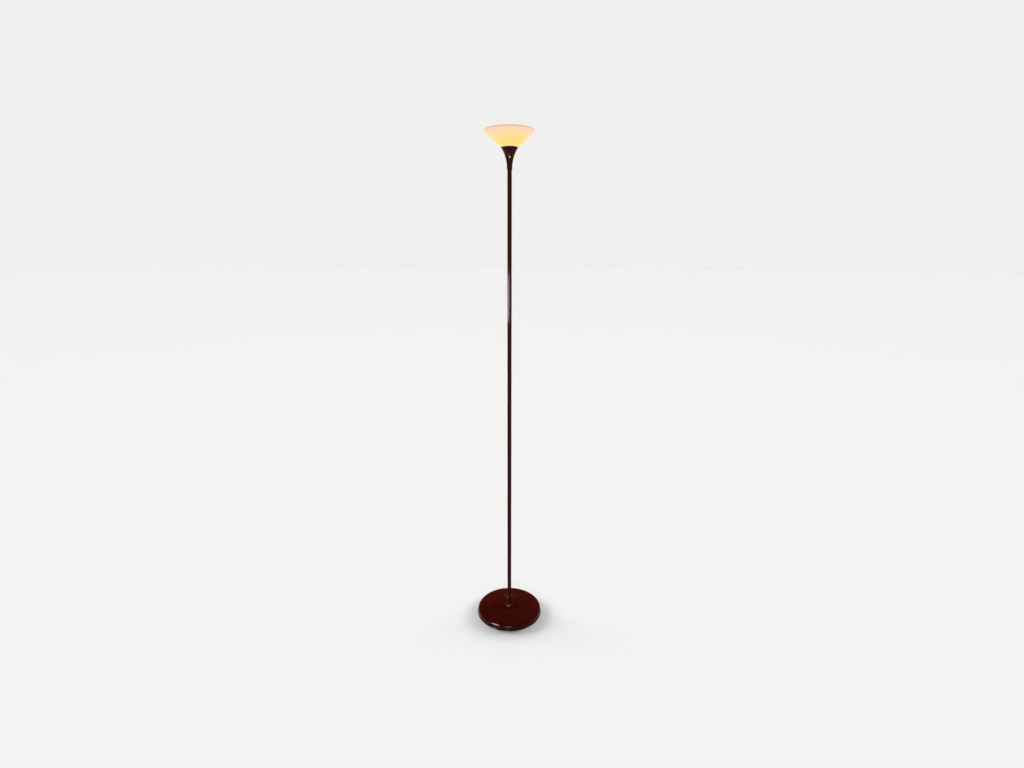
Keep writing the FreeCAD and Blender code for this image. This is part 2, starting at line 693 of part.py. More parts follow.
def contact_clips():
    """The two sprung clips that grip the lamp's pins."""
    clips = []
    for x in pin_places():
        shell = block(CLIP_WIDTH, CLIP_GAP + 2.0 * CLIP_SHEET, CLIP_Z, CLIP_TOP_Z, x=x)
        inside = block(CLIP_WIDTH, CLIP_GAP, CLIP_Z + CLIP_SHEET, CLIP_TOP_Z, x=x)
        clips.append(shell.cut(inside))
    return clips


def shade_gasket():
    return ring(GLASS_HOLE_R, GASKET_R, FLANGE_TOP_Z, GLASS_Z)


def ring_gasket():
    return ring(GLASS_HOLE_R, RING_R - RING_NOTCH_R, GLASS_FLOOR_TOP_Z, RING_Z)


def shade_ring():
    """The notched ring that clamps the bowl to the sleeve."""
    body = ring(SLEEVE_R + RING_CLEARANCE, RING_R, RING_Z, RING_Z + RING_HEIGHT)
    notch = rod(RING_NOTCH_R, RING_Z, RING_Z + RING_HEIGHT, x=RING_R)
    return body.cut(around(notch, RING_NOTCHES))


# ================================================================ glass bowl
def glass_bowl():
    """The conical glass bowl: a flat floor, a bend, a straight cone and a rolled lip."""
    half = GLASS_THICKNESS / 2.0
    lip_r, lip_z = GLASS_RIM_R - GLASS_LIP_R, GLASS_TOP_Z - GLASS_LIP_R
    foot_r, foot_z = GLASS_FOOT_R, GLASS_Z + half
    slope = math.atan2(lip_z - foot_z, lip_r - foot_r)
    along = (math.cos(slope), math.sin(slope))
    across = (-along[1], along[0])
    tangent = GLASS_FOOT_BEND_R * math.tan(slope / 2.0)
    bend_r, bend_z = foot_r - tangent, foot_z + GLASS_FOOT_BEND_R
    lip_reach = math.sqrt(GLASS_LIP_R**2 - half**2)

    def on_bend(radius, angle):
        return (bend_r + radius * math.sin(angle), bend_z - radius * math.cos(angle))

    def under_lip(side):
        return (
            lip_r - along[0] * lip_reach + across[0] * half * side,
            lip_z - along[1] * lip_reach + across[1] * half * side,
        )

    outer, inner = GLASS_FOOT_BEND_R + half, GLASS_FOOT_BEND_R - half
    lip_top = (lip_r + along[0] * GLASS_LIP_R, lip_z + along[1] * GLASS_LIP_R)
    return turned(
        [
            line((GLASS_HOLE_R, GLASS_Z), on_bend(outer, 0.0)),
            arc(on_bend(outer, 0.0), on_bend(outer, slope / 2.0), on_bend(outer, slope)),
            line(on_bend(outer, slope), under_lip(-1)),
            arc(under_lip(-1), lip_top, under_lip(1)),
            line(under_lip(1), on_bend(inner, slope)),
            arc(on_bend(inner, slope), on_bend(inner, slope / 2.0), on_bend(inner, 0.0)),
            line(on_bend(inner, 0.0), (GLASS_HOLE_R, GLASS_FLOOR_TOP_Z)),
            line((GLASS_HOLE_R, GLASS_FLOOR_TOP_Z), (GLASS_HOLE_R, GLASS_Z)),
        ]
    )


# ================================================================ capsule lamp
def bulb_pins():
    """The two wire loops under the capsule lamp."""
    pins = []
    for x in pin_places():
        top, low = SEAT_Z + PIN_ROOT, SEAT_Z - PIN_LENGTH + PIN_WIRE_R
        left, right = x - PIN_LOOP_R + PIN_WIRE_R, x + PIN_LOOP_R - PIN_WIRE_R
        turn_r = PIN_LOOP_R - PIN_WIRE_R
        path = Part.Wire(
            [
                line((left, top), (left, low + turn_r)),
                arc((left, low + turn_r), (x, low), (right, low + turn_r)),
                line((right, low + turn_r), (right, top)),
            ]
        )
        pins.append(round_wire(path, PIN_WIRE_R))
    return pins


def bulb_filament():
    """The upright filament, between its short support wire and its tall one."""
    low = CAPSULE_Z - SUPPORT_ROOT
    bottom, top = FILAMENT_Z - FILAMENT_LENGTH / 2.0, FILAMENT_Z + FILAMENT_LENGTH / 2.0
    side = FILAMENT_R + 2.0 * SUPPORT_R
    coil = rod(FILAMENT_R, bottom + SUPPORT_R, top - SUPPORT_R)
    short = rod(SUPPORT_R, low, bottom + 2.0 * SUPPORT_R)
    tall = rod(SUPPORT_R, low, top, x=side)
    across = Part.makeCylinder(SUPPORT_R, side, V(0, 0, top - SUPPORT_R), V(1, 0, 0))
    stub = rod(SUPPORT_R, top - 2.0 * SUPPORT_R, top)
    return coil.fuse([short, tall, across, stub])


def bulb_glass():
    """The capsule's glass: a flat pinch below and a clear domed tube above."""
    inner_r = CAPSULE_R - CAPSULE_WALL
    dome_z = CAPSULE_TOP_Z - CAPSULE_R
    tube = rod(CAPSULE_R, CAPSULE_Z, dome_z)
    dome = Part.makeSphere(CAPSULE_R, V(0, 0, dome_z))
    hollow = rod(inner_r, CAPSULE_Z + CAPSULE_FLOOR, dome_z)
    hollow_dome = Part.makeSphere(inner_r, V(0, 0, dome_z))
    pinch = block(PINCH_WIDTH, PINCH_DEPTH, SEAT_Z, CAPSULE_Z + CAPSULE_FLOOR / 2.0)
    corner = 1.2
    pinch = pinch.makeFillet(corner, [e for e in pinch.Edges if abs(e.tangentAt(0).z) > 0.9])
    outside = tube.fuse([dome, pinch])
    return outside.cut([hollow.fuse(hollow_dome), bulb_filament()] + bulb_pins())


# ================================================================ inner leads
def inner_lead(side):
    """One insulated lead, from a contact clip down the pole to the terminal block."""
    top_x, pole_x = side * PIN_SPACING / 2.0, side * LEAD_OFFSET
    block_x = side * BLOCK_POLE_SPACING / 2.0
    entry_z = SLEEVE_FLOOR_TOP_Z + 1.2
    path = smooth_path(
        [
            V(top_x, 0, CLIP_Z),
            V(top_x, 0, CAVITY_TOP_Z - 1.0),
            V(pole_x, 0, entry_z),
            V(pole_x, 0, LEAD_Z),
            V(pole_x, LEAD_BEND_RUN, LEAD_Z),
            V(block_x, BLOCK_Y - LEAD_BEND_RUN, LEAD_Z),
            V(block_x, BLOCK_Y + LEAD_ENTRY, LEAD_Z),
        ]
    )
    lead = round_wire(path, LEAD_R)
    share = lead.Volume / (math.pi * LEAD_R**2 * path.Length)
    print("lead %+d: %.0f mm long, volume share %.4f" % (side, path.Length, share))
    return lead


# ================================================================ the whole lamp
def all_pieces():
    """Every named piece, from the floor upwards."""
    pieces = {
        "felt_pad": felt_pad(),
        "bottom_plate": bottom_plate(),
        "plate_screws": plate_screws(),
        "base_weight": base_weight(),
        "base_cover": base_cover(),
        "cord_gland": cord_gland(),
        "terminal_block": terminal_block(),
        "terminal_screws": terminal_screws(),
        "base_washer": base_washer(),
        "lock_washer": lock_washer(),
        "base_nut": hex_nut(BASE_NUT_Z),
        "base_nipple": base_nipple(),
        "base_collar": base_collar(),
    }
    for index in range(SECTION_COUNT):
        number, foot = index + 1, section_foot(index)
        pieces["pole_section_%d" % number] = pole_section(index)
        pieces["pole_bush_%d_lower" % number] = pole_bush(foot)
        pieces["pole_bush_%d_upper" % number] = pole_bush(foot + SECTION_LENGTH - BUSH_LENGTH)
    for index in range(SECTION_COUNT - 1):
        pieces["pole_stud_%d" % (index + 1)] = pole_stud(index)
    pieces.update(
        {
            "cup": cup(),
            "cup_washer": cup_washer(),
            "cup_nut": hex_nut(CUP_NUT_Z),
            "top_nipple": top_nipple(),
            "holder_nut": hex_nut(HOLDER_NUT_Z),
            "holder_sleeve": holder_sleeve(),
            "holder_ceramic": holder_ceramic(),
            "holder_ring": holder_ring(),
            "contact_clips": contact_clips(),
            "shade_gasket": shade_gasket(),
            "glass_bowl": glass_bowl(),
            "ring_gasket": ring_gasket(),
            "shade_ring": shade_ring(),
            "bulb_pins": bulb_pins(),
            "bulb_filament": bulb_filament(),
            "bulb_glass": bulb_glass(),
            "lead_live": inner_lead(-1),
            "lead_neutral": inner_lead(1),
        }
    )
    return pieces


def main():
    os.makedirs("parts", exist_ok=True)
    for name, shape in all_pieces().items():
        if isinstance(shape, list):
            shape = Part.makeCompound(shape)
        solids = shape.Solids
        good = all(solid.isValid() and solid.Volume > 0 for solid in solids)
        box = shape.BoundBox
        print(
            "%-20s %d solid(s) %s  %.1f cm3  z %.1f to %.1f"
            % (name, len(solids), "ok" if good else "BAD", shape.Volume / 1000.0, box.ZMin, box.ZMax)
        )
        shape.exportStep("parts/%s.step" % name)


main()
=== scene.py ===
# %% [markdown]
# # A glass uplight on a slim pole
#
# This lesson dresses one floor lamp: a lacquered steel base and pole, a spun steel cup, and a bowl of
# etched opal glass that is lit from inside. The lamp's pieces arrive as a fixed frame of CAD solids.
# Each later cell either gives a piece its finish, or makes a finer mesh that stands in the same place,
# so that edges are as soft and curves as round as on the real lamp.

# %% Load the frame
import json
import math

import bmesh
import bpy
from mathutils import Matrix, Vector


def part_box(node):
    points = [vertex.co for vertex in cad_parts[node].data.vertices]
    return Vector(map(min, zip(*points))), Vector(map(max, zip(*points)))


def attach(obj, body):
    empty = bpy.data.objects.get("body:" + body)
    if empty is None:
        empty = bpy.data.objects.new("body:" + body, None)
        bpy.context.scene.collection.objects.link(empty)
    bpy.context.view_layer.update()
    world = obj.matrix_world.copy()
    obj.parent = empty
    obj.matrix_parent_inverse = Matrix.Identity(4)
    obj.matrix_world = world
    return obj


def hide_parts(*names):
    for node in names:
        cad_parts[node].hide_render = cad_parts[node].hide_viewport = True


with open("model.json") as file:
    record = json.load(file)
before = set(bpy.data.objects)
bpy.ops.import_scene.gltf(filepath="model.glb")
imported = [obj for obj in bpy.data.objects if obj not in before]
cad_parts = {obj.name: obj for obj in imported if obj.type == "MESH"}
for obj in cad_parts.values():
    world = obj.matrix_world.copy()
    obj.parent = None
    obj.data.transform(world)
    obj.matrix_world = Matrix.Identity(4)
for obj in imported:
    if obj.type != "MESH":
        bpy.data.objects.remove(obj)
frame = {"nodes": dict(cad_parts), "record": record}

nodes = frame["nodes"]
record = frame["record"]
slot_of = {part["node"]: part["material_slot"] for part in record["subparts"]}
body_of = {node: body for body, members in record["behaviour"]["bodies"].items() for node in members}
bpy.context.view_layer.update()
scene = bpy.context.scene
MM = 0.001

# %% [markdown]
# ## Colours as they are written
#
# A paint chart gives sRGB hex values, and a shader wants linear light. One function does the change,
# so that every colour below can be read, copied and compared as a hex value.

# %% Hex to linear


def linear(hex_value):
    """An sRGB hex colour as the linear RGBA that shaders expect."""
    channels = [int(hex_value[i : i + 2], 16) / 255.0 for i in (1, 3, 5)]
    out = [c / 12.92 if c <= 0.04045 else ((c + 0.055) / 1.055) ** 2.4 for c in channels]
    return (*out, 1.0)


print("mid grey #808080 is %.3f in linear light" % linear("#808080")[0])

# %% [markdown]
# ## Building a node tree by hand
#
# Every finish is a small tree of nodes round one Principled shader. A single helper adds a node, sets
# its plain settings and makes its links, so that each material reads as a list of what drives what.
# A tuple of a node and one of its outputs is a link, and any other value is a setting. Stops are the
# places and colours of a colour ramp. All the kinds used here start with ShaderNode, so the helper
# puts that in front.

# %% Add a node


def add(tree, kind, inputs=None, stops=(), **settings):
    """Adds a node of that kind, with its settings, socket values, links and ramp stops."""
    node = tree.nodes.new("ShaderNode" + kind)
    for name, value in settings.items():
        setattr(node, name, value)
    for name, value in (inputs or {}).items():
        socket = node.inputs[name]
        if isinstance(value, tuple) and isinstance(value[0], bpy.types.Node):
            tree.links.new(value[0].outputs[value[1]], socket)
        else:
            socket.default_value = value
    for index, (position, hex_value) in enumerate(stops):
        if index >= len(node.color_ramp.elements):
            node.color_ramp.elements.new(position)
        node.color_ramp.elements[index].position = position
        node.color_ramp.elements[index].color = linear(hex_value)
    return node


def new_finish(name):
    """A new material, its empty tree, and the place on the surface, in metres, as a link."""
    material = bpy.data.materials.new(name)
    material.use_nodes = True
    tree = material.node_tree
    tree.nodes.clear()
    return material, tree, (add(tree, "TexCoord"), "Object")


def end_finish(tree, sockets):
    """Ends a tree with one Principled shader that has those sockets."""
    shader = add(tree, "BsdfPrincipled", sockets)
    add(tree, "OutputMaterial", {"Surface": (shader, "BSDF")})


def coat(tone, gloss, relief):
    """The three sockets that a patterned finish drives, as links."""
    return {"Base Color": (tone, "Color"), "Roughness": (gloss, "Result"), "Normal": (relief, "Normal")}


def per_metre(size_mm):
    """A texture scale whose features are about this many millimetres across."""
    return 1.0 / (size_mm * MM)


finish = {}
print("a pattern of 2 mm has a texture scale of %.0f" % per_metre(2.0))

# %% [markdown]
# ## Brown baked lacquer on steel
#
# The base, collar, pole and cup are steel, sprayed with a deep red-brown lacquer and baked. Baked
# lacquer is smooth and glossy, with a faint orange peel: soft ripples about 2 mm apart, which make
# highlights waver. The tone drifts a little over a hand's width, and where a cloth has wiped it the
# gloss is a touch less even. The lacquer is so dark that the room's reflection would grey it, so its
# specular level is set low.

# %% Lacquer
LACQUER = "#380b05"
LACQUER_LIGHT = "#430f08"
LACQUER_TONE_MM = 60.0
LACQUER_PEEL_MM = 2.2
LACQUER_WIPE_MM = 25.0


def baked_lacquer():
    material, tree, place = new_finish("baked brown lacquer")
    drift = add(tree, "TexNoise", {"Vector": place, "Scale": per_metre(LACQUER_TONE_MM), "Detail": 3.0})
    tone = add(tree, "ValToRGB", {"Fac": (drift, "Fac")}, [(0.35, LACQUER), (0.70, LACQUER_LIGHT)])
    wipe = add(tree, "TexNoise", {"Vector": place, "Scale": per_metre(LACQUER_WIPE_MM), "Detail": 4.0})
    gloss = add(tree, "MapRange", {"Value": (wipe, "Fac"), "To Min": 0.08, "To Max": 0.14})
    peel = add(tree, "TexNoise", {"Vector": place, "Scale": per_metre(LACQUER_PEEL_MM), "Detail": 1.0})
    bump = add(tree, "Bump", {"Height": (peel, "Fac"), "Strength": 0.3, "Distance": 0.006 * MM})
    end_finish(tree, coat(tone, gloss, bump) | {"Specular IOR Level": 0.07})
    return material


finish["brown_lacquer"] = baked_lacquer()
print("lacquer ripples: %.1f mm" % LACQUER_PEEL_MM)

# %% [markdown]
# ## Etched opal glass, with a painted glow
#
# The bowl is white opal glass, etched with acid to a satin skin. The lamp inside would light it through,
# and here the glass's emission paints that light on: strongest and yellowest low down near the lamp,
# and peach towards the rim. A ramp over the height paints that glow. The polished lip, which the lamp
# reaches least, gets a painted shade: a darker, greyer glow. Inside, the wall faces the lamp, so it is
# painted whiter. The skin itself is dark grey, so that the painted glow gives the bowl its brightness.
# The etch is much finer than 1 mm, and is drawn here at 0.6 mm so that it still shows.

# %% Opal glass
# Painted glow: emission colours that stand in for the bulb's light through the glass.
PAINTED_GLOW_FOOT = "#ffe17e"
PAINTED_GLOW_MIDDLE = "#ffdda3"
PAINTED_GLOW_TOP = "#fdd3ba"
# Painted shade: the lip gets a darker, greyer glow than the cone below it.
LIP_PAINTED_SHADE = "#c8aa90"
PAINTED_GLOW_INSIDE_LOW = "#fff3cf"
PAINTED_GLOW_INSIDE_HIGH = "#ffdcae"
OPAL_SKIN = "#4c473f"
OPAL_ETCH_MM = 0.6
OPAL_CLOUD_MM = 18.0


def etched_opal_with_painted_glow():
    material, tree, place = new_finish("etched opal glass with painted glow")
    low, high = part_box("glass_bowl")
    split = add(tree, "SeparateXYZ", {"Vector": place})
    height = add(tree, "MapRange", {"Value": (split, "Z"), "From Min": low.z, "From Max": high.z})
    # Painted glow over the height: yellow low down, peach higher up, a painted shade on the lip.
    stops = [(0.30, PAINTED_GLOW_FOOT), (0.60, PAINTED_GLOW_MIDDLE), (0.92, PAINTED_GLOW_TOP), (0.985, LIP_PAINTED_SHADE)]
    outside = add(tree, "ValToRGB", {"Fac": (height, "Result")}, stops)
    stops = [(0.05, PAINTED_GLOW_INSIDE_LOW), (0.90, PAINTED_GLOW_INSIDE_HIGH), (0.985, LIP_PAINTED_SHADE)]
    inside = add(tree, "ValToRGB", {"Fac": (height, "Result")}, stops)
    # Painted light: the inner wall, whose normal points up, gets the whiter painted glow.
    geometry = add(tree, "NewGeometry")
    up = add(tree, "SeparateXYZ", {"Vector": (geometry, "Normal")})
    painted_glow_inner_mask = add(tree, "Math", {0: (up, "Z"), 1: 0.2}, operation="GREATER_THAN")
    sides = {"Factor": (painted_glow_inner_mask, "Value"), 6: (outside, "Color"), 7: (inside, "Color")}
    painted_glow = add(tree, "Mix", sides, data_type="RGBA")
    cloud = add(tree, "TexNoise", {"Vector": place, "Scale": per_metre(OPAL_CLOUD_MM), "Detail": 2.0})
    satin = add(tree, "MapRange", {"Value": (cloud, "Fac"), "To Min": 0.42, "To Max": 0.52})
    etch = add(tree, "TexNoise", {"Vector": place, "Scale": per_metre(OPAL_ETCH_MM), "Detail": 2.0})
    bump = add(tree, "Bump", {"Height": (etch, "Fac"), "Strength": 0.2, "Distance": 0.04 * MM})
    sockets = {
        "Base Color": linear(OPAL_SKIN),
        "Roughness": (satin, "Result"),
        "Specular IOR Level": 0.05,
        "Normal": (bump, "Normal"),
        "Emission Color": (painted_glow, 2),
        "Emission Strength": 0.96,
    }
    end_finish(tree, sockets)
    return material


finish["frosted_glass"] = etched_opal_with_painted_glow()
print("bowl glow runs from %s at the foot to %s at the top" % (PAINTED_GLOW_FOOT, PAINTED_GLOW_TOP))

# %% [markdown]
# ## Metals inside the lamp
#
# The weight is grey iron cast in sand, which leaves a grain of about 1 mm and a dark skin. Nuts,
# washers, lamp pipe and screws are steel with bright zinc: a cool metal whose clear coating drifts
# towards straw and blue. The holder's sleeve and clamp ring are brass, turned on a lathe and plated,
# so they keep fine rings. The real ones are too fine to show, so they are drawn 1.9 mm apart. Lead-in
# wires are drawn, with faint lines along them.

# %% Iron, zinc, brass and wire
IRON_GRAIN_MM = 1.1
ZINC_CLOUD_MM = 7.0
ZINC_CRYSTAL_MM = 0.5
LATHE_RING_MM = 1.885
WAVE_BANDS = 20.0 / math.tau  # bands to a metre of a wave texture at scale 1
BRASS_CLOUD_MM = 9.0
WIRE_LINE_MM = 0.08


def grained(name, size_mm, stops, rough, depth_mm, sockets, detail=4.0, strength=0.4):
    """A cast, moulded or extruded finish: one noise gives its tone, its gloss and its relief."""
    material, tree, place = new_finish(name)
    noise = add(tree, "TexNoise", {"Vector": place, "Scale": per_metre(size_mm), "Detail": detail})
    tone = add(tree, "ValToRGB", {"Fac": (noise, "Fac")}, stops)
    gloss = add(tree, "MapRange", {"Value": (noise, "Fac"), "To Min": rough[0], "To Max": rough[1]})
    relief = {"Height": (noise, "Fac"), "Strength": strength, "Distance": depth_mm * MM}
    bump = add(tree, "Bump", relief)
    end_finish(tree, coat(tone, gloss, bump) | sockets)
    return material


def bright_zinc():
    material, tree, place = new_finish("bright zinc-plated steel")
    cloud = add(tree, "TexNoise", {"Vector": place, "Scale": per_metre(ZINC_CLOUD_MM), "Detail": 3.0})
    stops = [(0.30, "#b9c2cc"), (0.52, "#c9cbca"), (0.72, "#d0cab2")]
    tint = add(tree, "ValToRGB", {"Fac": (cloud, "Fac")}, stops)
    crystal = add(tree, "TexVoronoi", {"Vector": place, "Scale": per_metre(ZINC_CRYSTAL_MM)})
    rough = add(tree, "MapRange", {"Value": (crystal, "Distance"), "To Min": 0.26, "To Max": 0.40})
    bump = add(tree, "Bump", {"Height": (crystal, "Distance"), "Strength": 0.2, "Distance": 0.01 * MM})
    end_finish(tree, coat(tint, rough, bump) | {"Metallic": 1.0})
    return material


def turned_brass():
    material, tree, place = new_finish("turned and plated brass")
    rings = add(
        tree,
        "TexWave",
        {"Vector": place, "Scale": per_metre(LATHE_RING_MM) / WAVE_BANDS, "Distortion": 0.4},
        bands_direction="Z",
    )
    cloud = add(tree, "TexNoise", {"Vector": place, "Scale": per_metre(BRASS_CLOUD_MM), "Detail": 3.0})
    tint = add(tree, "ValToRGB", {"Fac": (cloud, "Fac")}, [(0.35, "#c6aa6a"), (0.68, "#d2bb80")])
    rough = add(tree, "MapRange", {"Value": (cloud, "Fac"), "To Min": 0.22, "To Max": 0.34})
    bump = add(tree, "Bump", {"Height": (rings, "Fac"), "Strength": 0.25, "Distance": 0.01 * MM})
    end_finish(tree, coat(tint, rough, bump) | {"Metallic": 1.0})
    return material


def drawn_wire():
    material, tree, place = new_finish("drawn molybdenum wire")
    stretch = add(tree, "Mapping", {"Vector": place, "Scale": (1.0, 1.0, 0.05)})
    lines = add(
        tree,
        "TexNoise",
        {"Vector": (stretch, "Vector"), "Scale": per_metre(WIRE_LINE_MM), "Detail": 1.0},
    )
    tint = add(tree, "ValToRGB", {"Fac": (lines, "Fac")}, [(0.35, "#8d8d90"), (0.65, "#a9a9ac")])
    rough = add(tree, "MapRange", {"Value": (lines, "Fac"), "To Min": 0.25, "To Max": 0.4})
    end_finish(tree, {"Base Color": (tint, "Color"), "Roughness": (rough, "Result"), "Metallic": 1.0})
    return material


finish["iron"] = grained(
    "sand-cast grey iron",
    IRON_GRAIN_MM,
    [(0.30, "#1f1f21"), (0.62, "#38393c"), (0.80, "#4a4038")],
    (0.55, 0.85),
    0.2,
    {"Metallic": 0.6},
    detail=5.0,
    strength=0.8,
)
finish["zinc_steel"] = bright_zinc()
finish["plated_brass"] = turned_brass()
finish["bulb_wire"] = drawn_wire()
print("metals: " + ", ".join(material.name for material in list(finish.values())[2:]))

# %% [markdown]
# ## Felt, rubber, nylon, ceramic and insulation
#
# Under the base lies pressed wool felt: short fibres that lie every way, dull, with a soft sheen.
# The cord gland and the gaskets are moulded rubber, black and slightly powdery. The terminal block is
# moulded nylon, the colour of milk. The lamp holder's insert is steatite, a fired ceramic that is left
# unglazed, so it is matt with a few dark specks. The inner leads have extruded silicone, which is
# satin with a very fine grain.

# %% Soft and moulded finishes
FELT_FIBRE_MM = 0.7
RUBBER_POWDER_MM = 1.6
NYLON_FLOW_MM = 6.0
STEATITE_SPECK_MM = 0.9
SILICONE_GRAIN_MM = 0.5


def pressed_felt():
    material, tree, place = new_finish("pressed wool felt")
    fibre = add(
        tree,
        "TexNoise",
        {"Vector": place, "Scale": per_metre(FELT_FIBRE_MM), "Detail": 6.0, "Distortion": 2.5},
    )
    stops = [(0.30, "#0e0e0e"), (0.58, "#1c1b1a"), (0.78, "#34322f")]
    tone = add(tree, "ValToRGB", {"Fac": (fibre, "Fac")}, stops)
    bump = add(tree, "Bump", {"Height": (fibre, "Fac"), "Strength": 0.9, "Distance": 0.3 * MM})
    sockets = {"Base Color": (tone, "Color"), "Normal": (bump, "Normal"), "Roughness": 0.95}
    end_finish(tree, sockets | {"Sheen Weight": 0.35, "Sheen Roughness": 0.5})
    return material


finish["felt"] = pressed_felt()
finish["black_rubber"] = grained(
    "moulded black rubber",
    RUBBER_POWDER_MM,
    [(0.35, "#161616"), (0.70, "#242423")],
    (0.55, 0.72),
    0.03,
    {"Specular IOR Level": 0.4},
)
finish["white_plastic"] = grained(
    "moulded natural nylon",
    NYLON_FLOW_MM,
    [(0.35, "#e3e0d4"), (0.70, "#ece9de")],
    (0.38, 0.50),
    0.02,
    {"IOR": 1.53},
)
finish["white_ceramic"] = grained(
    "fired steatite",
    STEATITE_SPECK_MM,
    [(0.22, "#8d867a"), (0.30, "#e4e0d4"), (0.70, "#efece2")],
    (0.50, 0.66),
    0.04,
    {"IOR": 1.55},
)
for colour, dark, light in (("brown", "#4f2a17", "#5c331d"), ("blue", "#234f98", "#2b5cae")):
    finish[colour + "_insulation"] = grained(
        colour + " silicone insulation",
        SILICONE_GRAIN_MM,
        [(0.35, dark), (0.70, light)],
        (0.35, 0.48),
        0.01,
        {"IOR": 1.43},
    )
print("finishes so far: %d" % len(finish))

# %% [markdown]
# ## Quartz and the glowing filament
#
# The capsule of the lamp is drawn quartz: clear, hard, with faint drawing lines along its length that
# bend what is seen through it. Its filament is tungsten at white heat, which no surface colour can
# show, so it gives off light instead. A little noise along the coil keeps it from looking painted.

# %% Quartz and hot tungsten
QUARTZ_LINE_MM = 1.5
TUNGSTEN_HOT = "#fff0cf"
TUNGSTEN_COOLER = "#ffd794"
TUNGSTEN_TURN_MM = 1.2


def drawn_quartz():
    material, tree, place = new_finish("drawn clear quartz")
    stretch = add(tree, "Mapping", {"Vector": place, "Scale": (1.0, 1.0, 0.08)})
    lines = add(
        tree,
        "TexNoise",
        {"Vector": (stretch, "Vector"), "Scale": per_metre(QUARTZ_LINE_MM), "Detail": 1.0},
    )
    bump = add(tree, "Bump", {"Height": (lines, "Fac"), "Strength": 0.15, "Distance": 0.03 * MM})
    tint = add(tree, "ValToRGB", {"Fac": (lines, "Fac")}, [(0.3, "#f4f8f8"), (0.7, "#ffffff")])
    sockets = {"Base Color": (tint, "Color"), "Normal": (bump, "Normal"), "Roughness": 0.02}
    end_finish(tree, sockets | {"IOR": 1.46, "Transmission Weight": 1.0})
    return material


def hot_tungsten():
    material, tree, place = new_finish("tungsten at white heat")
    turns = add(
        tree, "TexNoise", {"Vector": place, "Scale": per_metre(TUNGSTEN_TURN_MM), "Detail": 2.0}
    )
    heat = add(tree, "ValToRGB", {"Fac": (turns, "Fac")}, [(0.3, TUNGSTEN_COOLER), (0.6, TUNGSTEN_HOT)])
    sockets = {"Base Color": linear("#6f6d6a"), "Metallic": 1.0, "Roughness": 0.4}
    end_finish(tree, sockets | {"Emission Color": (heat, "Color"), "Emission Strength": 6.0})
    return material


finish["clear_glass"] = drawn_quartz()
hot_filament = hot_tungsten()
print("all slots have a finish: %s" % (set(slot_of.values()) == set(finish)))

# %% [markdown]
# ## Skinning rings of points
#
# Nearly every piece of this lamp was made on a lathe, a press or a spinning chuck, so it is round. One
# helper joins rings of points into a skin. Rings that run upwards on the outside and downwards on the
# inside keep the faces pointing outwards. A second helper turns an outline about the lamp's axis, and
# lets a shape function push a point in or out, which is enough for a thread or for finger notches.

# %% Mesh helpers
AROUND = 192
CENTRE_R = 0.05  # the small ring in the middle of a disc, which an end cap closes


def put(name, data):
    """A new object in the scene that shows a mesh, a curve, a lamp or a camera."""
    piece = bpy.data.objects.new(name, data)
    scene.collection.objects.link(piece)
    return piece


def skin(name, chains, loop=False):
    """A smooth object from chains of rings of millimetre points. An open chain gets end caps."""
    mesh = bmesh.new()
    for rings in chains:
        rows = [[mesh.verts.new(Vector(point) * MM) for point in ring] for ring in rings]
        pairs = list(zip(rows, rows[1:] + rows[:1] if loop else rows[1:]))
        for low, high in pairs:
            for here in range(len(low)):
                after = (here + 1) % len(low)
                mesh.faces.new((low[here], low[after], high[after], high[here]))
        if not loop:
            mesh.faces.new(rows[0][::-1])
            mesh.faces.new(rows[-1])
    data = bpy.data.meshes.new(name)
    mesh.to_mesh(data)
    mesh.free()
    data.polygons.foreach_set("use_smooth", [True] * len(data.polygons))
    return put(name, data)


def turned(name, outline, around=AROUND, shape=None, loop=True):
    """A (radius, height) outline in millimetres, turned about the lamp's axis."""
    rings = []
    for radius, height in outline:
        angles = [math.tau * step / around for step in range(around)]
        radii = [shape(angle, radius, height) if shape else radius for angle in angles]
        rings.append([(r * math.cos(a), r * math.sin(a), height) for r, a in zip(radii, angles)])
    return skin(name, [rings], loop)


def bend(centre, radius, start, end, steps=8):
    """Points on an arc round a (radius, height) centre, between two angles in degrees."""
    angles = [math.radians(start + (end - start) * step / steps) for step in range(steps + 1)]
    return [(centre[0] + radius * math.cos(a), centre[1] + radius * math.sin(a)) for a in angles]


def eased_wall(radius, low, high, edge, steps=4):
    """An upright outer wall from its foot up, with a small round at both ends."""
    foot = bend((radius - edge, low + edge), edge, -90.0, 0.0, steps)
    return foot + bend((radius - edge, high - edge), edge, 0.0, 90.0, steps)


def soften(piece, width_mm, steps=3):
    """Rounds the sharp edges that are left, and keeps flat faces flat to the eye."""
    edge = piece.modifiers.new("rounded edges", "BEVEL")
    edge.width = width_mm * MM
    edge.segments = steps
    edge.limit_method = "ANGLE"
    edge.angle_limit = math.radians(32.0)
    piece.modifiers.new("flat faces", "WEIGHTED_NORMAL")
    return piece


def stand_in(piece, node, material=None):
    """Puts a piece in its node's place: on the same body, with the same slot and its finish."""
    piece.data.materials.clear()
    piece.data.materials.append(material or finish[slot_of[node]])
    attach(piece, body_of[node])
    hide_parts(node)
    low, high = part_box(node)
    print("%s: %.1f to %.1f mm high, %d faces" % (node, low.z / MM, high.z / MM, len(piece.data.polygons)))


def level(node):
    """The lower and the upper level of a node, in millimetres."""
    low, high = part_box(node)
    return low.z / MM, high.z / MM


def reach(node):
    """How far a node reaches from the lamp's axis, in millimetres."""
    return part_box(node)[1].x / MM


print("the bowl's rim is %.1f mm from the axis" % reach("glass_bowl"))

# %% [markdown]
# ## The pressed base cover
#
# The cover is one sheet of steel, pressed over a former: a flat seat for the collar, a crown that
# falls away very gently, a tight shoulder, a wall, and a rolled edge that hides the cut. The roll
# matters to the eye, because it draws the bright and dark lines where the base meets the floor. A hole
# in the back wall takes the cord gland, cut with a Boolean as a punch would.

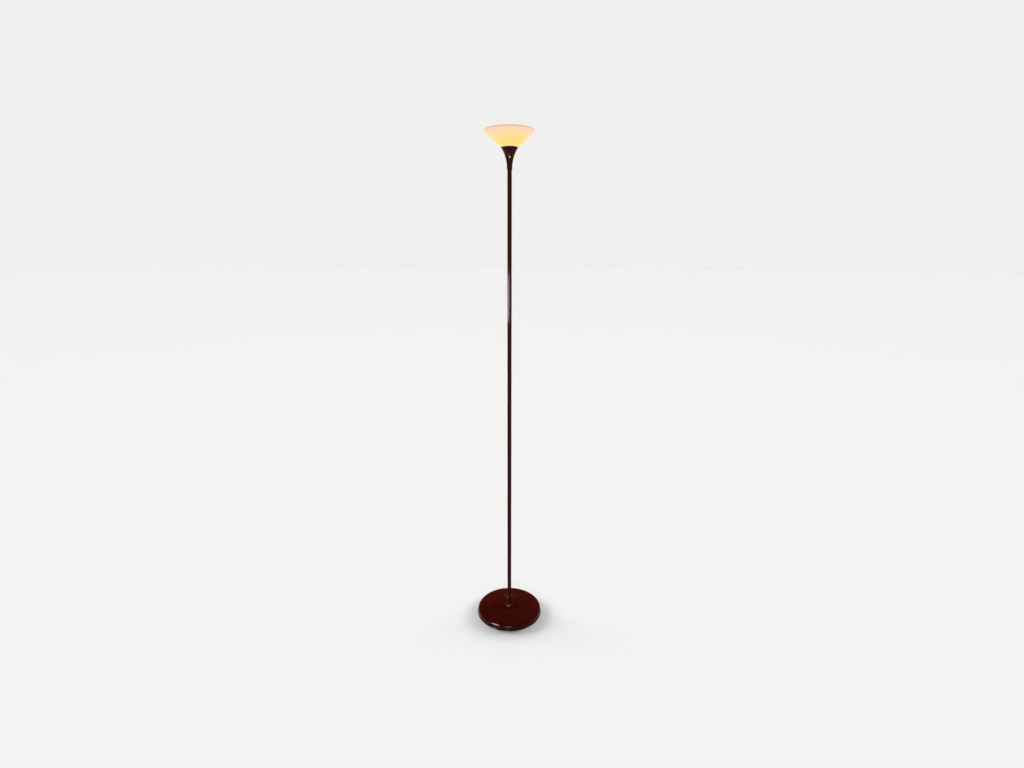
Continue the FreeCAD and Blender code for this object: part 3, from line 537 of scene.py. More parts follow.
# %% Base cover
COVER_SHEET = 1.2
COVER_FLAT_R = 32.0
COVER_CROWN_R = 800.0
COVER_SHOULDER_R = 8.0
COVER_HEM_HEIGHT = 2.5
COVER_HEM_OUT = 2.0
COVER_NECK = 0.8
PIPE_HOLE_R = 5.2
GLAND_HOLE_R = 4.65
PUNCH_REACH = 9.0

cover_foot, cover_top = level("base_cover")
cover_wall_r = reach("base_cover") - COVER_HEM_OUT
crown_z = cover_top - COVER_CROWN_R
shoulder_r = cover_wall_r - COVER_SHOULDER_R
shoulder_z = crown_z + math.sqrt((COVER_CROWN_R - COVER_SHOULDER_R) ** 2 - (shoulder_r - COVER_FLAT_R) ** 2)
crown_end = math.degrees(math.atan2(shoulder_z - crown_z, shoulder_r - COVER_FLAT_R))


def cover_skin(inset):
    """The cover's wall, shoulder and crown, from the wall's foot up to the pipe hole."""
    shoulder = bend((shoulder_r, shoulder_z), COVER_SHOULDER_R - inset, 0.0, crown_end, 12)
    crown = bend((COVER_FLAT_R, crown_z), COVER_CROWN_R - inset, crown_end, 90.0, 24)
    return shoulder + crown[1:] + [(PIPE_HOLE_R, cover_top - inset)]


def base_cover():
    half = COVER_HEM_HEIGHT / 2.0
    nose = reach("base_cover") - half
    inner = cover_wall_r - COVER_SHEET
    roll = bend((nose, cover_foot + half), half, -90.0, 90.0, 10)
    hem_top = cover_foot + COVER_HEM_HEIGHT
    neck = bend((cover_wall_r + COVER_NECK, hem_top + COVER_NECK), COVER_NECK, -90.0, -180.0, 5)
    outline = [(inner, cover_foot)] + roll + neck + cover_skin(0.0) + cover_skin(COVER_SHEET)[::-1]
    piece = turned("base_cover", outline)
    hole = [(GLAND_HOLE_R, -PUNCH_REACH), (GLAND_HOLE_R, PUNCH_REACH)]
    punch = turned("punch", hole, around=48, loop=False)
    punch.data.transform(gland_place())
    return cut_away(piece, [punch])


def gland_place():
    """Turns a piece made about the upright axis so that it points out of the base's back."""
    low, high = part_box("cord_gland")
    middle = (low + high) / 2.0
    return Matrix.Translation(middle) @ Matrix.Rotation(math.radians(-90.0), 4, "X")


def cut_away(piece, cutters):
    """Cuts each cutter out of a piece, for good, and removes the cutters."""
    for cutter in cutters:
        cut = piece.modifiers.new("cut", "BOOLEAN")
        cut.object = cutter
        cut.solver = "EXACT"
    shape = bpy.data.meshes.new_from_object(piece.evaluated_get(bpy.context.evaluated_depsgraph_get()))
    piece.modifiers.clear()
    piece.data = shape
    for cutter in cutters:
        bpy.data.objects.remove(cutter)
    return piece


stand_in(soften(base_cover(), 0.25), "base_cover")

# %% [markdown]
# ## The cord gland
#
# A rubber grommet lines the hole: a thin neck in the sheet, between two flanges with round edges that
# keep it from slipping through. It is turned like the rest and then laid on its side.

# %% Cord gland
GLAND_BORE_R = 3.3
GLAND_NECK_R = 4.6
GLAND_FLANGE_ROUND = 0.6
GLAND_PLAY = 0.05


def cord_gland():
    low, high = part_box("cord_gland")
    half = (high.y - low.y) / MM / 2.0
    flange_r = (high.x - low.x) / MM / 2.0
    groove = COVER_SHEET / 2.0 + GLAND_PLAY
    round_r = GLAND_FLANGE_ROUND
    corner = flange_r - round_r
    outline = [(GLAND_BORE_R, -half)]
    outline += bend((corner, -half + round_r), round_r, -90.0, 0.0, 6)
    outline += [(flange_r, -groove), (GLAND_NECK_R, -groove), (GLAND_NECK_R, groove), (flange_r, groove)]
    outline += bend((corner, half - round_r), round_r, 0.0, 90.0, 6)
    outline += [(GLAND_BORE_R, half)]
    piece = turned("cord_gland", outline, around=64)
    piece.data.transform(gland_place())
    return soften(piece, 0.2)


stand_in(cord_gland(), "cord_gland")

# %% [markdown]
# ## The felt pad
#
# The felt is die-cut, so its edge is upright but woolly. A soft round on both edges is enough, and the
# finish gives the fibres.

# %% Felt pad
FELT_ROUND_SHARE = 0.35


def felt_pad():
    low, high = level("felt_pad")
    edge = (high - low) * FELT_ROUND_SHARE
    outline = [(CENTRE_R, low)] + eased_wall(reach("felt_pad"), low, high, edge, 5) + [(CENTRE_R, high)]
    return soften(turned("felt_pad", outline, loop=False), 0.1, 2)


stand_in(felt_pad(), "felt_pad")

# %% [markdown]
# ## The collar at the pole's foot
#
# The collar is turned from bar: a foot ring, a hollow sweep up to a slim waist, one round bead and a
# taper that ends on the pole. The bead is what shows in a picture from above.

# %% Collar
COLLAR_FOOT_HEIGHT = 1.6
COLLAR_FOOT_ROUND = 1.0
COLLAR_WAIST_R = 10.2
COLLAR_WAIST_Z = 24.0
COLLAR_SWEEP_SHARE = 0.3
COLLAR_BEAD_LOW_Z = 34.0
COLLAR_BEAD_HIGH_Z = 44.0
COLLAR_BEAD_R = 14.2
COLLAR_FLOOR = 3.0
COLLAR_LIP = 0.7
SOCKET_R = 7.75


def arc(start, middle, end, steps):
    """Points on the arc through three (radius, height) points."""
    (ax, ay), (bx, by), (cx, cy) = start, middle, end
    double = 2.0 * (ax * (by - cy) + bx * (cy - ay) + cx * (ay - by))
    a2, b2, c2 = ax * ax + ay * ay, bx * bx + by * by, cx * cx + cy * cy
    centre = (
        (a2 * (by - cy) + b2 * (cy - ay) + c2 * (ay - by)) / double,
        (a2 * (cx - bx) + b2 * (ax - cx) + c2 * (bx - ax)) / double,
    )
    radius = math.hypot(ax - centre[0], ay - centre[1])
    first, last = (math.degrees(math.atan2(p[1] - centre[1], p[0] - centre[0])) for p in (start, end))
    turn = (last - first + 180.0) % 360.0 - 180.0
    return bend(centre, radius, first, first + turn, steps)


def base_collar():
    foot, top = level("base_collar")
    foot_r = reach("base_collar")
    shoulder_z = foot + COLLAR_FOOT_HEIGHT
    sweep_r = foot_r - COLLAR_FOOT_ROUND
    sweep_z = shoulder_z + COLLAR_FOOT_ROUND
    waist_z = foot + COLLAR_WAIST_Z
    middle = (
        COLLAR_WAIST_R + (sweep_r - COLLAR_WAIST_R) / 3.0,
        sweep_z + (waist_z - sweep_z) * COLLAR_SWEEP_SHARE,
    )
    bead_low, bead_high = foot + COLLAR_BEAD_LOW_Z, foot + COLLAR_BEAD_HIGH_Z
    bead_top = (COLLAR_BEAD_R, (bead_low + bead_high) / 2.0)
    outline = [(PIPE_HOLE_R, foot), (foot_r, foot)]
    outline += bend((sweep_r, shoulder_z), COLLAR_FOOT_ROUND, 0.0, 90.0, 6)
    outline += arc((sweep_r, sweep_z), middle, (COLLAR_WAIST_R, waist_z), 20)[1:]
    outline += arc((COLLAR_WAIST_R, bead_low), bead_top, (COLLAR_WAIST_R, bead_high), 16)
    outline += [(SOCKET_R + COLLAR_LIP, top), (SOCKET_R, top)]
    outline += [(SOCKET_R, foot + COLLAR_FLOOR), (PIPE_HOLE_R, foot + COLLAR_FLOOR)]
    return soften(turned("base_collar", outline, around=96), 0.3)


stand_in(base_collar(), "base_collar")

# %% [markdown]
# ## The pole
#
# The pole comes in four steel tubes that screw together. Each end is eased with a small round, so two
# rounds meet at every joint and draw the hair-thin line that such poles show. One loop makes all four.

# %% Pole sections
POLE_WALL = 0.8
POLE_EDGE = 0.3


def pole_section(node):
    low, high = level(node)
    radius = reach(node)
    outline = [(radius - POLE_WALL, low)] + eased_wall(radius, low, high, POLE_EDGE)
    outline += [(radius - POLE_WALL, high)]
    return soften(turned(node, outline, around=96), 0.1, 2)


for number in range(1, 5):
    stand_in(pole_section("pole_section_%d" % number), "pole_section_%d" % number)

# %% [markdown]
# ## The trumpet cup
#
# The cup is spun from a steel disc: a neck over the pole's end, one sweeping flare, and a rolled lip
# just under the bowl. The flare is an arc that starts upright at the neck, 12 mm below the pole's top,
# which is how a spinner runs the sheet over a wooden chuck.

# %% Cup
CUP_WALL = 0.9
CUP_FLOOR = 2.0
CUP_NECK_R = 9.28
CUP_NECK_DROP = 18.0
CUP_FLARE_DROP = 12.0
CUP_LIP_R = 1.1


def cup():
    foot, top = level("cup")
    pole_top = foot + CUP_NECK_DROP
    flare_z = pole_top - CUP_FLARE_DROP
    mouth_z = top - CUP_LIP_R
    lip_middle_r = reach("cup") - CUP_LIP_R
    mouth_r = lip_middle_r + CUP_WALL / 2.0
    rise, spread = mouth_z - flare_z, mouth_r - CUP_NECK_R
    flare_r = (spread**2 + rise**2) / (2.0 * spread)

    def flare(start, end, inset, steps):
        heights = [start + (end - start) * step / steps for step in range(steps + 1)]
        centre_r = CUP_NECK_R + flare_r
        return [(centre_r - math.sqrt((flare_r + inset) ** 2 - (z - flare_z) ** 2), z) for z in heights]

    outline = [(SOCKET_R, foot), (SOCKET_R + CUP_WALL, foot)]
    outline += flare(flare_z, mouth_z - CUP_LIP_R, 0.0, 32)
    outline += bend((lip_middle_r, mouth_z), CUP_LIP_R, -40.0, 220.0, 18)
    outline += flare(mouth_z - CUP_LIP_R, pole_top + CUP_FLOOR, CUP_WALL, 32)
    outline += [(PIPE_HOLE_R, pole_top + CUP_FLOOR), (PIPE_HOLE_R, pole_top)]
    outline += [(SOCKET_R, pole_top)]
    return soften(turned("cup", outline), 0.2)


stand_in(cup(), "cup")

# %% [markdown]
# ## The glass bowl
#
# The bowl is pressed glass: a flat floor with a hole for the holder, a tight bend, a straight cone and
# a fire-polished lip. The glass is modelled as a wall 3.5 mm thick, and not as a bare surface, because
# the lip's thickness shows from above.

# %% Bowl
GLASS_THICKNESS = 3.5
GLASS_FOOT_R = 30.0
GLASS_BEND_R = 6.5
GLASS_LIP_R = 1.9
GLASS_HOLE_R = 12.6


def glass_bowl():
    foot, top = level("glass_bowl")
    half = GLASS_THICKNESS / 2.0
    lip_r, lip_z = reach("glass_bowl") - GLASS_LIP_R, top - GLASS_LIP_R
    slope = math.degrees(math.atan2(lip_z - foot - half, lip_r - GLASS_FOOT_R))
    bend_r = GLASS_FOOT_R - GLASS_BEND_R * math.tan(math.radians(slope / 2.0))
    bend_z = foot + half + GLASS_BEND_R
    spread = math.degrees(math.asin(half / GLASS_LIP_R))
    outline = [(GLASS_HOLE_R, foot)]
    outline += bend((bend_r, bend_z), GLASS_BEND_R + half, -90.0, slope - 90.0, 12)
    outline += bend((lip_r, lip_z), GLASS_LIP_R, slope - 180.0 + spread, slope + 180.0 - spread, 24)
    outline += bend((bend_r, bend_z), GLASS_BEND_R - half, slope - 90.0, -90.0, 12)
    outline += [(GLASS_HOLE_R, foot + GLASS_THICKNESS)]
    print("the cone rises at %.1f degrees" % slope)
    return soften(turned("glass_bowl", outline, around=256), 0.3)


stand_in(glass_bowl(), "glass_bowl")

# %% [markdown]
# ## Gaskets and the clamp ring
#
# Two flat gaskets keep metal off glass. The clamp ring above them has 24 finger notches. Each notch
# is a round-nosed cut, so the ring's outer radius dips along a small arc wherever a notch passes.

# %% Gaskets and clamp ring
RING_BORE_R = 12.2
RING_NOTCHES = 24
RING_NOTCH_R = 0.9
RING_EDGE = 0.4
RING_BORE_SIDE = 1.0  # points this close to the bore have no notches
GASKET_ROUND_SHARE = 0.3


def flat_gasket(node):
    low, high = level(node)
    edge = (high - low) * GASKET_ROUND_SHARE
    outline = [(GLASS_HOLE_R, low)] + eased_wall(reach(node), low, high, edge) + [(GLASS_HOLE_R, high)]
    return soften(turned(node, outline, around=128), 0.1, 2)


def shade_ring():
    low, high = level("shade_ring")
    ring_r = reach("shade_ring")
    pitch = math.tau / RING_NOTCHES

    def notched(angle, radius, height):
        across = abs((angle + pitch / 2.0) % pitch - pitch / 2.0) * ring_r
        if radius < RING_BORE_R + RING_BORE_SIDE or across >= RING_NOTCH_R:
            return radius
        return min(radius, ring_r - math.sqrt(RING_NOTCH_R**2 - across**2))

    outline = [(RING_BORE_R + RING_EDGE, low)] + eased_wall(ring_r, low, high, RING_EDGE)
    outline += bend((RING_BORE_R + RING_EDGE, high - RING_EDGE), RING_EDGE, 90.0, 180.0, 4)
    outline += [(RING_BORE_R, low + RING_EDGE)]
    return turned("shade_ring", outline, around=RING_NOTCHES * 20, shape=notched)


for node in ("shade_gasket", "ring_gasket"):
    stand_in(flat_gasket(node), node)
stand_in(shade_ring(), "shade_ring")

# %% [markdown]
# ## The threaded holder sleeve
#
# The clamp ring runs on a real screw thread, so the sleeve gets one: its radius dips as the turn and
# the height pass through each pitch together, which makes one continuous helix and not a stack of
# grooves. A flange carries the bowl, and a groove inside holds the snap ring.

# %% Holder sleeve
SLEEVE_R = 12.0
SLEEVE_BORE_R = 10.6
SLEEVE_FLOOR = 1.5
SLEEVE_PIPE_R = 5.0
SLEEVE_EASE = 0.3
THREAD_PITCH = 1.5
THREAD_DEPTH = 0.5
THREAD_ROWS = 8
SNAP_WIRE = 0.8
SNAP_BITE = 0.5


def holder_sleeve():
    foot, top = level("holder_sleeve")
    flange_r = reach("holder_sleeve")
    flange_top = level("shade_gasket")[0]
    flange_low = flange_top - SLEEVE_FLOOR
    snap_low = level("holder_ring")[0]
    thread_low = level("ring_gasket")[0]
    turns = (top - thread_low) / THREAD_PITCH
    rows = int(turns * THREAD_ROWS)
    crest = [(SLEEVE_R, thread_low + (top - thread_low) * row / rows) for row in range(1, rows)]

    def threaded(angle, radius, height):
        if abs(radius - SLEEVE_R) > 0.01 or height <= thread_low:
            return radius
        phase = (height / THREAD_PITCH - angle / math.tau) % 1.0
        valley = 1.0 - abs(2.0 * phase - 1.0)
        ends = min(1.0, (top - height) / THREAD_PITCH * 2.0, (height - thread_low) / THREAD_PITCH * 2.0)
        return radius - THREAD_DEPTH * valley * max(0.0, ends)

    outline = [(SLEEVE_PIPE_R, foot), (SLEEVE_R, foot), (SLEEVE_R, flange_low), (flange_r, flange_low)]
    outline += [(flange_r, flange_top), (SLEEVE_R, flange_top)] + crest
    outline += [(SLEEVE_R - SLEEVE_EASE, top), (SLEEVE_BORE_R, top), (SLEEVE_BORE_R, snap_low + SNAP_WIRE)]
    outline += [(SLEEVE_BORE_R + SNAP_BITE, snap_low + SNAP_WIRE), (SLEEVE_BORE_R + SNAP_BITE, snap_low)]
    outline += [(SLEEVE_BORE_R, snap_low), (SLEEVE_BORE_R, foot + SLEEVE_FLOOR)]
    outline += [(SLEEVE_PIPE_R, foot + SLEEVE_FLOOR)]
    return turned("holder_sleeve", outline, around=144, shape=threaded)


stand_in(soften(holder_sleeve(), 0.15, 2), "holder_sleeve")

# %% [markdown]
# ## Steatite insert and snap ring
#
# The insert is pressed in a die and fired, so its edges are rounded. It has a seat with round corners
# for the lamp's flat foot and a slot for each pin's clip. The snap ring is a bent wire with a gap, made
# as a curve with a round section.

# %% Insert and snap ring
PINCH_WIDTH = 14.0
PINCH_DEPTH = 5.6
PINCH_CORNER = 1.2
SEAT_CLEARANCE = 0.4
SEAT_DEPTH = 8.0
PIN_SPACING = 9.0
SLOT_WIDTH = 4.4
SLOT_DEPTH = 3.0
SLOT_DROP = 7.3
SLOT_CORNER = 0.3
CERAMIC_EDGE = 0.5
CUT_PAST = 1.0  # how far a cutter stands out of the piece
SLOT_PAST = 0.5
CAVITY_R = 6.2
CAVITY_DEPTH = 7.4
SNAP_GAP_DEGREES = 33.0


def round_block(width, depth, corner, height, x=0.0, steps=7):
    """A ring of points: a rectangle with round corners, or a circle where the corners meet."""
    ring = []
    for quarter, (sx, sy) in enumerate([(1, 1), (-1, 1), (-1, -1), (1, -1)]):
        cx, cy = sx * (width / 2.0 - corner), sy * (depth / 2.0 - corner)
        for px, py in bend((cx, cy), corner, quarter * 90.0, quarter * 90.0 + 90.0, steps):
            ring.append((x + px, py, height))
    return ring


def holder_ceramic():
    foot, top = level("holder_ceramic")
    radius = reach("holder_ceramic")
    corner = (radius - CERAMIC_EDGE, top - CERAMIC_EDGE)
    outline = [(CENTRE_R, foot), (radius, foot)]
    outline += bend(corner, CERAMIC_EDGE, 0.0, 90.0, 5) + [(CENTRE_R, top)]
    piece = turned("holder_ceramic", outline, around=96, loop=False)
    seat_low = top - SEAT_DEPTH
    wide, deep = PINCH_WIDTH + 2.0 * SEAT_CLEARANCE, PINCH_DEPTH + 2.0 * SEAT_CLEARANCE
    seat = [round_block(wide, deep, PINCH_CORNER, height) for height in (seat_low, top + CUT_PAST)]
    well = [(CAVITY_R, foot - CUT_PAST), (CAVITY_R, foot + CAVITY_DEPTH)]
    cavity = turned("cavity", well, around=48, loop=False)
    cutters = [skin("seat", [seat]), cavity]
    for x in (-PIN_SPACING / 2.0, PIN_SPACING / 2.0):
        heights = (seat_low - SLOT_DROP, seat_low + SLOT_PAST)
        slot = [round_block(SLOT_WIDTH, SLOT_DEPTH, SLOT_CORNER, height, x, 2) for height in heights]
        cutters.append(skin("slot", [slot]))
    return soften(cut_away(piece, cutters), 0.2, 2)


def bent_wire(name, strokes):
    """Round wires as one mesh, from (wire radius, points) pairs in millimetres."""
    curve = bpy.data.curves.new(name, "CURVE")
    curve.dimensions = "3D"
    curve.bevel_depth = MM
    curve.bevel_resolution = 3
    curve.use_fill_caps = True
    for radius, points in strokes:
        spline = curve.splines.new("POLY")
        spline.points.add(len(points) - 1)
        for place, point in zip(spline.points, points):
            place.co = (*(Vector(point) * MM), 1.0)
            place.radius = radius
    maker = put(name, curve)
    bpy.context.view_layer.update()
    data = bpy.data.meshes.new_from_object(maker.evaluated_get(bpy.context.evaluated_depsgraph_get()))
    bpy.data.objects.remove(maker)
    data.polygons.foreach_set("use_smooth", [True] * len(data.polygons))
    return put(name, data)


def snap_ring():
    low, high = level("holder_ring")
    wire_r = (high - low) / 2.0
    turn_r = reach("holder_ring") - wire_r
    start, end = -90.0 + SNAP_GAP_DEGREES / 2.0, 270.0 - SNAP_GAP_DEGREES / 2.0
    path = [(x, y, low + wire_r) for x, y in bend((0.0, 0.0), turn_r, start, end, 96)]
    return bent_wire("holder_ring", [(wire_r, path)])


stand_in(holder_ceramic(), "holder_ceramic")
stand_in(snap_ring(), "holder_ring")

# %% [markdown]
# ## The capsule lamp
#
# A capsule lamp starts as a quartz tube. One end is heated and pinched flat round the wires, the other
# is closed to a dome with the small nub where the tube was filled and sealed. So its skin runs through
# rings that change from a flat block to a circle. The hollow is a second skin that faces inwards.
# The filament is a fine coil between two thicker support wires, and each pin is a loop of wire.

# %% Capsule lamp
CAPSULE_R = 6.9
CAPSULE_WALL = 0.9
PINCH_HEIGHT = 14.0
PINCH_EASE = 0.4
PINCH_RINGS = (0.5, 4.0, 8.0)
SHOULDER_DROP = 2.0
SHOULDER_RISE = 5.0
HOLLOW_TIP_R = 1.0
HOLLOW_TIP_RISE = 2.0
NUB_R = 1.1
NUB_RISE = 0.8
COIL_R = 0.78
COIL_WIRE_R = 0.12
COIL_PITCH = 0.5
COIL_LENGTH = 12.0
SUPPORT_R = 0.3
SUPPORT_ROOT = 4.0
SUPPORT_GAP = 0.9
SUPPORT_BEND = ((0.0, 1.0), (0.3, 0.42), (0.9, 0.3))  # in from the side, down from the top
PIN_WIRE_R = 0.4
PIN_LOOP_R = 1.2
PIN_LENGTH = 6.5
PIN_ROOT = 3.0


def capsule_rings(radius, low, high, nub):
    """Rings of the tube and its dome, from a level up to a nub or a plain crown."""
    dome_rise = radius - nub
    dome_z = high - radius
    rings = [round_block(2.0 * radius, 2.0 * radius, radius, low)]
    for step in range(13):
        turn = math.radians(84.0 * step / 12.0)
        r = radius * math.cos(turn)
        rings.append(round_block(2.0 * r, 2.0 * r, r, dome_z + dome_rise * math.sin(turn)))
    if nub:
        for r, z in bend((0.0, high - NUB_R), NUB_R, 20.0, 80.0, 5):
            rings.append(round_block(2.0 * r, 2.0 * r, r, z))
    return rings


def bulb_glass():
    low, high = level("bulb_glass")
    slim, thin = PINCH_WIDTH - 2.0 * PINCH_EASE, PINCH_DEPTH - 2.0 * PINCH_EASE
    rings = [round_block(slim, thin, PINCH_CORNER - PINCH_EASE, low)]
    rings += [round_block(PINCH_WIDTH, PINCH_DEPTH, PINCH_CORNER, low + rise) for rise in PINCH_RINGS]
    for step in range(9):
        share = step / 8.0
        ease = share * share * (3.0 - 2.0 * share)
        width = PINCH_WIDTH + (2.0 * CAPSULE_R - PINCH_WIDTH) * ease
        depth = PINCH_DEPTH + (2.0 * CAPSULE_R - PINCH_DEPTH) * ease
        corner = min(PINCH_CORNER + (CAPSULE_R - PINCH_CORNER) * ease, depth / 2.0)
        height = low + PINCH_HEIGHT - SHOULDER_DROP + SHOULDER_RISE * share
        rings.append(round_block(width, depth, corner, height))
    tube_low = low + PINCH_HEIGHT + SHOULDER_RISE
    rings += capsule_rings(CAPSULE_R, tube_low, high, NUB_RISE)
    tip = 2.0 * HOLLOW_TIP_R
    hollow = [round_block(tip, tip, HOLLOW_TIP_R, low + PINCH_HEIGHT + HOLLOW_TIP_RISE)]
    hollow += capsule_rings(CAPSULE_R - CAPSULE_WALL, tube_low, high - CAPSULE_WALL - NUB_RISE, 0.0)
    return skin("bulb_glass", [rings, hollow[::-1]])


def filament_places():
    """The filament's lower and upper end, in the middle of the capsule."""
    low, high = level("bulb_glass")
    middle = (low + PINCH_HEIGHT + high) / 2.0
    return middle - COIL_LENGTH / 2.0, middle + COIL_LENGTH / 2.0


def filament_coil():
    low = filament_places()[0]
    turns = (COIL_LENGTH - 2.0 * SUPPORT_R) / COIL_PITCH
    steps = int(turns * 14)
    path = []
    for step in range(steps + 1):
        turn = math.tau * turns * step / steps
        height = low + SUPPORT_R + COIL_PITCH * turns * step / steps
        path.append((COIL_R * math.cos(turn), COIL_R * math.sin(turn), height))
    return bent_wire("filament_coil", [(COIL_WIRE_R, path)])


def filament_supports():
    low, high = filament_places()
    root = level("bulb_glass")[0] + PINCH_HEIGHT - SUPPORT_ROOT
    side = SUPPORT_GAP + 2.0 * SUPPORT_R
    corner = [(side - inward, 0.0, high - down) for inward, down in SUPPORT_BEND]
    tall = [(side, 0.0, root)] + corner + [(0.0, 0.0, high - SUPPORT_R)]
    short = [(0.0, 0.0, root), (0.0, 0.0, low + SUPPORT_R)]
    return bent_wire("filament_supports", [(SUPPORT_R, tall), (SUPPORT_R, short)])


def bulb_pins():
    foot = level("bulb_glass")[0]
    turn_r = PIN_LOOP_R - PIN_WIRE_R
    strokes = []
    for x in (-PIN_SPACING / 2.0, PIN_SPACING / 2.0):
        low = foot - PIN_LENGTH + PIN_WIRE_R + turn_r
        loop = [(px, 0.0, pz) for px, pz in bend((x, low), turn_r, -180.0, 0.0, 10)]
        path = [(x - turn_r, 0.0, foot + PIN_ROOT)] + loop + [(x + turn_r, 0.0, foot + PIN_ROOT)]
        strokes.append((PIN_WIRE_R, path))
    return bent_wire("bulb_pins", strokes)


stand_in(bulb_glass(), "bulb_glass")
stand_in(filament_coil(), "bulb_filament", hot_filament)
stand_in(bulb_pins(), "bulb_pins")
supports = filament_supports()
supports.data.materials.append(finish["bulb_wire"])
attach(supports, "capsule_lamp")

# %% [markdown]
# ## The pieces inside
#
# The weight, plate, screws, nuts, washers, lamp pipe, clips, leads and terminal block keep their CAD
# shapes, because nobody sees them until the lamp is taken apart. They still get their real finishes.

# %% Dress what stays
for name, node in nodes.items():
    node.data.materials.clear()
    node.data.materials.append(finish[slot_of[name]])
print("dressed %d nodes" % len(nodes))

# %% [markdown]
# ## The room
#
# A pale floor runs back to a pale backdrop, so that hardly a horizon shows. The light comes from the
# room's walls, mostly from the one behind the lamp, and next to none from the ceiling. Light that comes
# in so low lets even a flat base draw a wide soft shadow. Looked at, the floor is near white. To light
# on its way it is grey, because a white floor would fill the shadow and light the lamp from below.
# Shiny pieces see floor and backdrop as the camera does, up to where the dark ceiling begins.

# %% Floor and world
FLOOR_RADIUS = 60.0
FLOOR_NEAR = "#fcfcfa"
FLOOR_FAR = "#f8f8f6"
FLOOR_BOUNCE = "#909090"
FLOOR_FADE_START = 1.0
FLOOR_FADE_END = 12.0
BACKDROP = "#f0f0ee"
FRONT_WALL = 1.3
BACK_WALL = 6.0
BACK_WALL_START = 0.45
BACK_WALL_FULL = 0.85
CEILING_LIGHT = 0.08
WALL_TOP = 0.38
WALL_FADE = 0.10
SEEN_WALL_TOP = 0.24
SEEN_FADE = 0.08
SEEN_CEILING = 0.02


def looked_at(tree):
    """One where the camera, a shiny piece or clear glass looks, and nought for light on its way."""
    path = add(tree, "LightPath")
    rays = {0: (path, "Is Camera Ray"), 1: (path, "Is Glossy Ray")}
    camera_or_gloss = add(tree, "Math", rays, operation="MAXIMUM")
    rays = {0: (camera_or_gloss, "Value"), 1: (path, "Is Transmission Ray")}
    return add(tree, "Math", rays, operation="MAXIMUM"), "Value"


def pale_floor():
    disc = bmesh.new()
    bmesh.ops.create_circle(disc, cap_ends=True, segments=96, radius=FLOOR_RADIUS)
    data = bpy.data.meshes.new("floor")
    disc.to_mesh(data)
    disc.free()
    floor = put("floor", data)
    material, tree, place = new_finish("matt studio floor")
    away = add(tree, "VectorMath", {0: place}, operation="LENGTH")
    fade = add(
        tree,
        "MapRange",
        {"Value": (away, "Value"), "From Min": FLOOR_FADE_START, "From Max": FLOOR_FADE_END},
    )
    tone = add(tree, "ValToRGB", {"Fac": (fade, "Result")}, [(0.0, FLOOR_NEAR), (1.0, FLOOR_FAR)])
    colours = {"Factor": looked_at(tree), 6: linear(FLOOR_BOUNCE), 7: (tone, "Color")}
    colour = add(tree, "Mix", colours, data_type="RGBA")
    end_finish(tree, {"Base Color": (colour, 2), "Roughness": 0.9, "Specular IOR Level": 0.0})
    data.materials.append(material)


def pale_world():
    world = bpy.data.worlds.new("studio")
    scene.world = world
    world.use_nodes = True
    tree = world.node_tree
    tree.nodes.clear()
    path = add(tree, "LightPath")
    place = add(tree, "TexCoord")
    split = add(tree, "SeparateXYZ", {"Vector": (place, "Generated")})
    smooth = {"interpolation_type": "SMOOTHSTEP"}
    edges = {"From Min": BACK_WALL_START, "From Max": BACK_WALL_FULL}
    walls = {"Value": (split, "Y"), "To Min": FRONT_WALL, "To Max": BACK_WALL}
    wall = add(tree, "MapRange", walls | edges, **smooth)
    edges = {"From Min": WALL_TOP - WALL_FADE, "From Max": WALL_TOP + WALL_FADE}
    room = {"Value": (split, "Z"), "To Min": (wall, "Result"), "To Max": CEILING_LIGHT}
    level_light = add(tree, "MapRange", room | edges, **smooth)
    edges = {"From Min": SEEN_WALL_TOP, "From Max": SEEN_WALL_TOP + SEEN_FADE}
    seen_room = {"Value": (split, "Z"), "To Min": 1.0, "To Max": SEEN_CEILING}
    ceiling = add(tree, "MapRange", seen_room | edges, **smooth)
    seen = add(tree, "Math", {0: (ceiling, "Result"), 1: (path, "Is Camera Ray")}, operation="MAXIMUM")
    light = add(
        tree, "Background", {"Color": (1.0, 1.0, 1.0, 1.0), "Strength": (level_light, "Result")}
    )
    backdrop = add(tree, "Background", {"Color": linear(BACKDROP), "Strength": (seen, "Value")})
    shaders = {"Fac": looked_at(tree), 1: (light, "Background"), 2: (backdrop, "Background")}
    mix = add(tree, "MixShader", shaders)
    add(tree, "OutputWorld", {"Surface": (mix, "Shader")})


pale_floor()
pale_world()
print("walls %.2f to %.2f, ceiling %.2f" % (FRONT_WALL, BACK_WALL, CEILING_LIGHT))

# %% [markdown]
# ## Lamps
#
# Two wide soft suns stand low behind the lamp, one on each side, and the left one is stronger. They
# spread the shadow forwards. The five other lamps are soft boxes, with grids that keep their light to a
# beam. Only shiny surfaces see them: they draw the highlights on the pole, the cup and the base, and
# add no light to the rest.

# %% Sun and soft boxes
SUN_ANGLE = 30.0
SUNS = ((-118.0, 3.3), (118.0, 2.4))
SUN_ELEVATION = 16.0
SUN_DISTANCE = 5.0
POLE_AIM = (0.0, 0.0, 1.24)
CUP_AIM = (0.0, 0.0, 1.74)
BASE_AIM = (0.0, -0.12, 0.03)


def aimed(location, target):
    """The rotation that points a lamp from one place to another."""
    return (Vector(target) - Vector(location)).to_track_quat("-Z", "Y").to_euler()


def from_front(azimuth, distance, height):
    """A place in metres: degrees round from the front to the right, distance and height."""
    turn = math.radians(azimuth)
    return (math.sin(turn) * distance, -math.cos(turn) * distance, height)


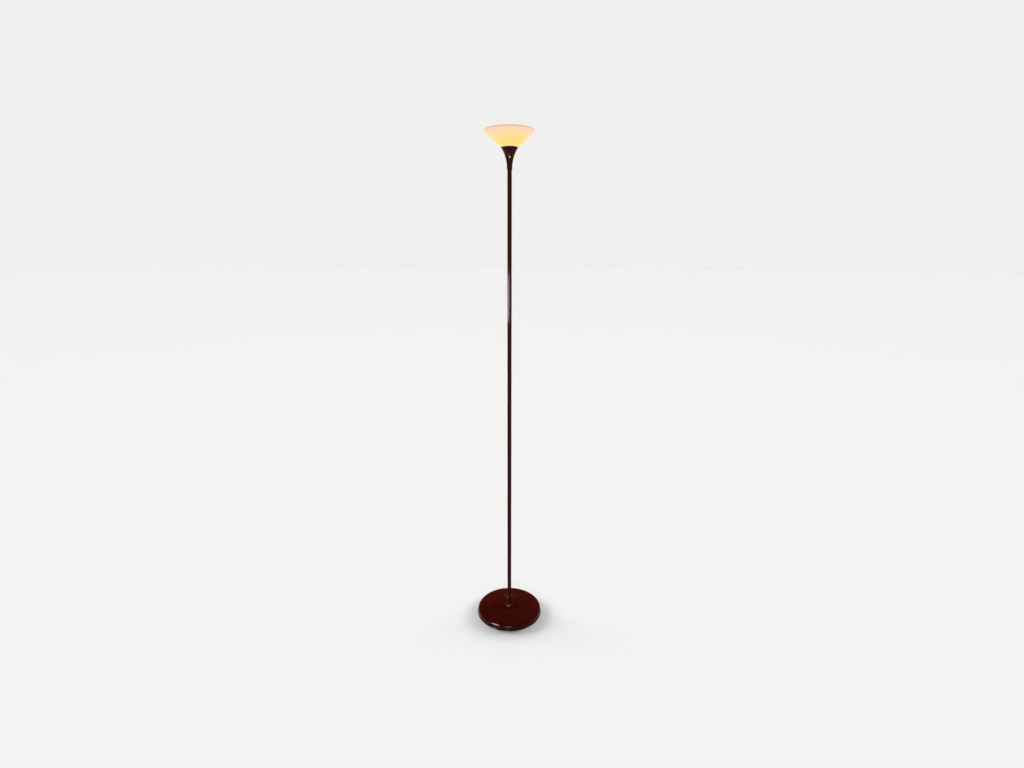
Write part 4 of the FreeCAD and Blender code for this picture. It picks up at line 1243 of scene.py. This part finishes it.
def soft_sun(azimuth, strength):
    data = bpy.data.lights.new("soft sun", "SUN")
    data.energy = strength
    data.angle = math.radians(SUN_ANGLE)
    sun = put("soft sun", data)
    height = SUN_DISTANCE * math.tan(math.radians(SUN_ELEVATION))
    sun.location = from_front(azimuth, SUN_DISTANCE, height)
    sun.rotation_euler = aimed(sun.location, (0, 0, 0))
    sun.visible_glossy = False
    print("soft sun %.0f degrees round from the front" % azimuth)


def soft_box(name, radiance, width, height, location, target, grid):
    data = bpy.data.lights.new(name, "AREA")
    data.shape = "RECTANGLE"
    data.size, data.size_y = width, height
    data.energy = radiance * math.pi * width * height
    data.spread = math.radians(grid)
    lamp = put(name, data)
    lamp.location = location
    lamp.rotation_euler = aimed(location, target)
    lamp.visible_diffuse = False
    lamp.visible_camera = False
    print("%s: %.2f by %.2f m, grid %.0f degrees" % (name, width, height, grid))


for azimuth, strength in SUNS:
    soft_sun(azimuth, strength)
soft_box("pole side box", 6.0, 0.60, 0.22, from_front(-75.0, 0.8, 1.19), POLE_AIM, 60.0)
soft_box("pole front box", 9.0, 0.30, 0.22, from_front(-26.0, 0.8, 1.19), POLE_AIM, 60.0)
soft_box("cup box", 8.0, 0.30, 0.14, from_front(2.0, 1.9, 0.90), CUP_AIM, 30.0)
soft_box("base box", 14.0, 0.45, 0.40, from_front(-5.0, 1.9, 0.80), BASE_AIM, 50.0)
soft_box("base side box", 20.0, 0.70, 0.40, from_front(-52.0, 1.5, 1.15), BASE_AIM, 50.0)

# %% [markdown]
# ## The camera
#
# The picture was taken from 1.9 m away, between the lamp's middle and its bowl, with a wide lens that
# looks 13 degrees down.

# %% Camera
PICTURE_WIDTH = 1024
SENSOR_WIDTH = 36.0
FOCAL_PIXELS = 539.0
CAMERA_DISTANCE = 1.913
CAMERA_HEIGHT = 1.4015
CAMERA_SIDE = 0.0085
CAMERA_PITCH = 13.44
CAMERA_ROLL = -0.098

camera_data = bpy.data.cameras.new("camera")
camera_data.sensor_width = SENSOR_WIDTH
camera_data.lens = SENSOR_WIDTH * FOCAL_PIXELS / PICTURE_WIDTH
camera = put("camera", camera_data)
camera.location = (CAMERA_SIDE, -CAMERA_DISTANCE, CAMERA_HEIGHT)
camera.rotation_euler = (math.radians(90.0 - CAMERA_PITCH), math.radians(CAMERA_ROLL), 0.0)
scene.camera = camera
scene.view_settings.view_transform = "Standard"
print("lens %.2f mm" % camera_data.lens)
